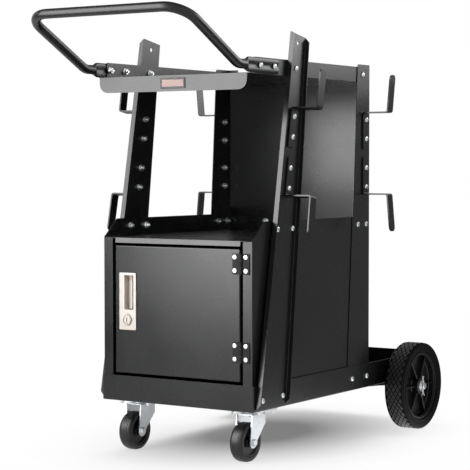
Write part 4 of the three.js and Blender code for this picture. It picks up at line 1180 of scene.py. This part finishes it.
def lock():
    """A lock: bevelled ring, core in a groove, and a key slot."""
    low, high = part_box("lock_cylinder")
    axis = -Y
    origin = Vector(((low.x + high.x) / 2, high.y, (low.z + high.z) / 2))
    face = (high.y - low.y) / MM
    ring = LOCK_HEAD / 2
    core = LOCK_CORE / 2
    core_face = face - LOCK_RECESS
    profile = [
        (LOCK_BARREL / 2, 0),
        (LOCK_BARREL / 2, face - LOCK_HEAD_HEIGHT),
        (ring, face - LOCK_HEAD_HEIGHT),
        (ring, face - LOCK_BEVEL),
        (ring - LOCK_BEVEL, face),
        (core + LOCK_GAP, face),
        (core + LOCK_GAP, core_face - LOCK_BEVEL),
        (core, core_face - LOCK_BEVEL),
        (core, core_face - RING_EASE),
        (core - RING_EASE, core_face),
    ]
    loops = [
        circle(origin + axis * along * MM, axis, radius * MM, ROUND_STEPS)
        for radius, along in profile
    ]
    for level in (core_face, core_face - KEY_SLOT_DEPTH):
        slot = []
        for unit in circle(Vector(), axis, 1, ROUND_STEPS):
            across = math.copysign(abs(unit.x) ** KEY_SLOT_SQUARENESS, unit.x) * KEY_SLOT_WIDTH / 2
            upwards = math.copysign(abs(unit.z) ** KEY_SLOT_SQUARENESS, unit.z) * KEY_SLOT_HEIGHT / 2
            slot.append(origin + (axis * level + X * across + Z * upwards) * MM)
        loops.append(slot)
    bm = bmesh.new()
    loft(bm, loops)
    add_piece("lock_core", bm, "satin_nickel", "lock", ["lock_cylinder"])


def badge():
    """A blank badge: raised dark border round a pale field."""
    low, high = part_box("badge_plate")
    width = (high.x - low.x) / MM
    height = (high.z - low.z) / MM
    depth = (high.y - low.y) / MM
    origin = Vector(((low.x + high.x) / 2, high.y, (low.z + high.z) / 2))

    def outline(inset):
        return rectangle(width - 2 * inset, height - 2 * inset, max(BADGE_CORNER - inset, BADGE_CORNER / 2))

    steps = [
        (outline(0), 0),
        (outline(0), depth - BADGE_EASE),
        (outline(BADGE_EASE), depth),
        (outline(BADGE_BORDER), depth),
        (outline(BADGE_BORDER + BADGE_EASE), depth - BADGE_EASE),
    ]
    bm = bmesh.new()
    loft(bm, [lay(shape, level, origin, X, Z) for shape, level in steps])
    bm.faces.ensure_lookup_table()
    bm.faces[-1].material_index = 1
    add_piece("blank_badge", bm, "badge_face", replaced=["badge_plate"],
              material=finishes["badge_border"], more_materials=[finishes["badge_face"]])


# Studio

def aim(thing, place, target):
    """Places a camera, a light or a card, and points its -Z at a target."""
    thing.location = place
    thing.rotation_euler = (Vector(target) - Vector(place)).to_track_quat("-Z", "Y").to_euler()


def softbox(name, place, target, size, radiance):
    """A rectangular soft light whose power follows from how bright its face is."""
    lamp = bpy.data.lights.new(name, "AREA")
    lamp.shape = "RECTANGLE"
    lamp.size, lamp.size_y = size
    lamp.energy = radiance * math.pi * size[0] * size[1]
    holder = bpy.data.objects.new(name, lamp)
    aim(holder, place, target)
    holder.visible_camera = False
    holder.visible_glossy = False
    bpy.context.scene.collection.objects.link(holder)


def seen_ray(tree):
    """1 for rays that the eye, a reflection or a clear piece sends, and 0 for rays that carry light."""
    path = add_node(tree, "ShaderNodeLightPath")
    either = add_node(tree, "ShaderNodeMath", {
        0: path.outputs["Is Camera Ray"],
        1: path.outputs["Is Glossy Ray"],
    }, operation="MAXIMUM")
    return add_node(tree, "ShaderNodeMath", {
        0: either.outputs["Value"],
        1: path.outputs["Is Transmission Ray"],
    }, operation="MAXIMUM").outputs["Value"]


def studio_world():
    """A plain even light, which the eye and reflections see as white."""
    world = bpy.data.worlds.new("white_studio")
    bpy.context.scene.world = world
    tree = clear_tree(world)
    ambient = add_node(tree, "ShaderNodeBackground", {"Color": linear(WHITE), "Strength": AMBIENT})
    backdrop = add_node(tree, "ShaderNodeBackground", {"Color": linear(WHITE), "Strength": 1.0})
    mix = add_node(tree, "ShaderNodeMixShader", {
        0: seen_ray(tree),
        1: ambient.outputs["Background"],
        2: backdrop.outputs["Background"],
    })
    add_node(tree, "ShaderNodeOutputWorld", {"Surface": mix.outputs["Shader"]})


def studio_floor():
    """A pale floor that keeps the shadow and turns to plain white away from the cart."""
    material = bpy.data.materials.new("pale_studio_floor")
    tree = clear_tree(material)
    place = add_node(tree, "ShaderNodeTexCoord").outputs["Object"]
    distance = add_node(tree, "ShaderNodeVectorMath", {0: place}, operation="LENGTH")
    fade = add_node(tree, "ShaderNodeValToRGB", {"Fac": distance.outputs["Value"]})
    stops = fade.color_ramp.elements
    while len(stops) < len(FLOOR_WHITE):
        stops.new(1.0)
    for stop, (place_share, white_share) in zip(stops, FLOOR_WHITE):
        stop.position = place_share
        stop.color = (white_share, white_share, white_share, 1)
    share = add_node(tree, "ShaderNodeMath", {
        0: fade.outputs["Color"],
        1: seen_ray(tree),
    }, operation="MULTIPLY")
    pale = add_node(tree, "ShaderNodeBsdfDiffuse", {"Color": linear(FLOOR_PAINT)})
    white = add_node(tree, "ShaderNodeEmission", {"Color": linear(WHITE), "Strength": 1.0})
    mix = add_node(tree, "ShaderNodeMixShader", {
        0: share.outputs["Value"],
        1: pale.outputs["BSDF"],
        2: white.outputs["Emission"],
    })
    add_node(tree, "ShaderNodeOutputMaterial", {"Surface": mix.outputs["Shader"]})
    floor = stage_sheet("studio_floor", FLOOR_SIZE / FLOOR_REACH, material)
    floor.location = (*FLOOR_CENTRE, -FLOOR_DROP)
    floor.scale = (FLOOR_REACH, FLOOR_REACH * FLOOR_STRETCH, 1)


def stage_sheet(name, side, material):
    """A flat square that belongs to the stage."""
    bm = bmesh.new()
    bmesh.ops.create_grid(bm, x_segments=1, y_segments=1, size=side / 2)
    mesh = bpy.data.meshes.new(name)
    bm.to_mesh(mesh)
    bm.free()
    mesh.materials.append(material)
    sheet = bpy.data.objects.new(name, mesh)
    bpy.context.scene.collection.objects.link(sheet)
    return sheet


def card(name, place, target, size, brightness):
    """A bright card or dark board that draws the lights on black paint.

    Only reflections see it, and only from the side that faces its target."""
    material = bpy.data.materials.new(name)
    material.cycles.emission_sampling = "NONE"
    tree = clear_tree(material)
    target_side = add_node(tree, "ShaderNodeNewGeometry").outputs["Backfacing"]
    clear = add_node(tree, "ShaderNodeBsdfTransparent")
    glow = add_node(tree, "ShaderNodeEmission", {"Color": linear(WHITE), "Strength": brightness})
    sides = add_node(tree, "ShaderNodeMixShader", {
        0: target_side,
        1: clear.outputs["BSDF"],
        2: glow.outputs["Emission"],
    })
    add_node(tree, "ShaderNodeOutputMaterial", {"Surface": sides.outputs["Shader"]})
    sheet = stage_sheet(name, 1, material)
    sheet.scale = (*size, 1)
    aim(sheet, place, target)
    sheet.visible_camera = False
    sheet.visible_diffuse = False
    sheet.visible_shadow = False
    sheet.visible_transmission = False


def studio():
    bpy.context.scene.view_settings.view_transform = "Standard"
    studio_world()
    studio_floor()
    for name, settings in SOFTBOXES.items():
        softbox(name, *settings)
    for name, settings in CARDS.items():
        card(name, *settings)
    camera = bpy.data.cameras.new("camera")
    camera.lens = CAMERA_LENS
    camera.sensor_width = CAMERA_SENSOR
    camera.shift_x = CAMERA_SHIFT
    holder = bpy.data.objects.new("camera", camera)
    aim(holder, CAMERA_PLACE, CAMERA_TARGET)
    bpy.context.scene.collection.objects.link(holder)
    bpy.context.scene.camera = holder


finishes = make_finishes()
base_low, base_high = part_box("base_tray")
tray_low, tray_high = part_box("top_tray")
tray_surface = tray_high.z - TRAY_WALL * MM
shelf_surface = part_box("shelf_tray")[1].z - UPSTAND * MM
axle_low, axle_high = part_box("rear_axle")
axle_centre = (axle_low + axle_high) / 2
hook_arm = {level: tray_surface - drop * MM for level, drop in HOOK_DROPS.items()}

studio()
make_sheet_pieces()
push_handle()
make_bolts()
for side, sign in SIDES:
    wheel_tyre(side, sign)
    wheel_rim(side, sign)
    caster(side)
axle_parts()
for level in ("upper", "lower"):
    hinge(level)
latch()
lock()
badge()
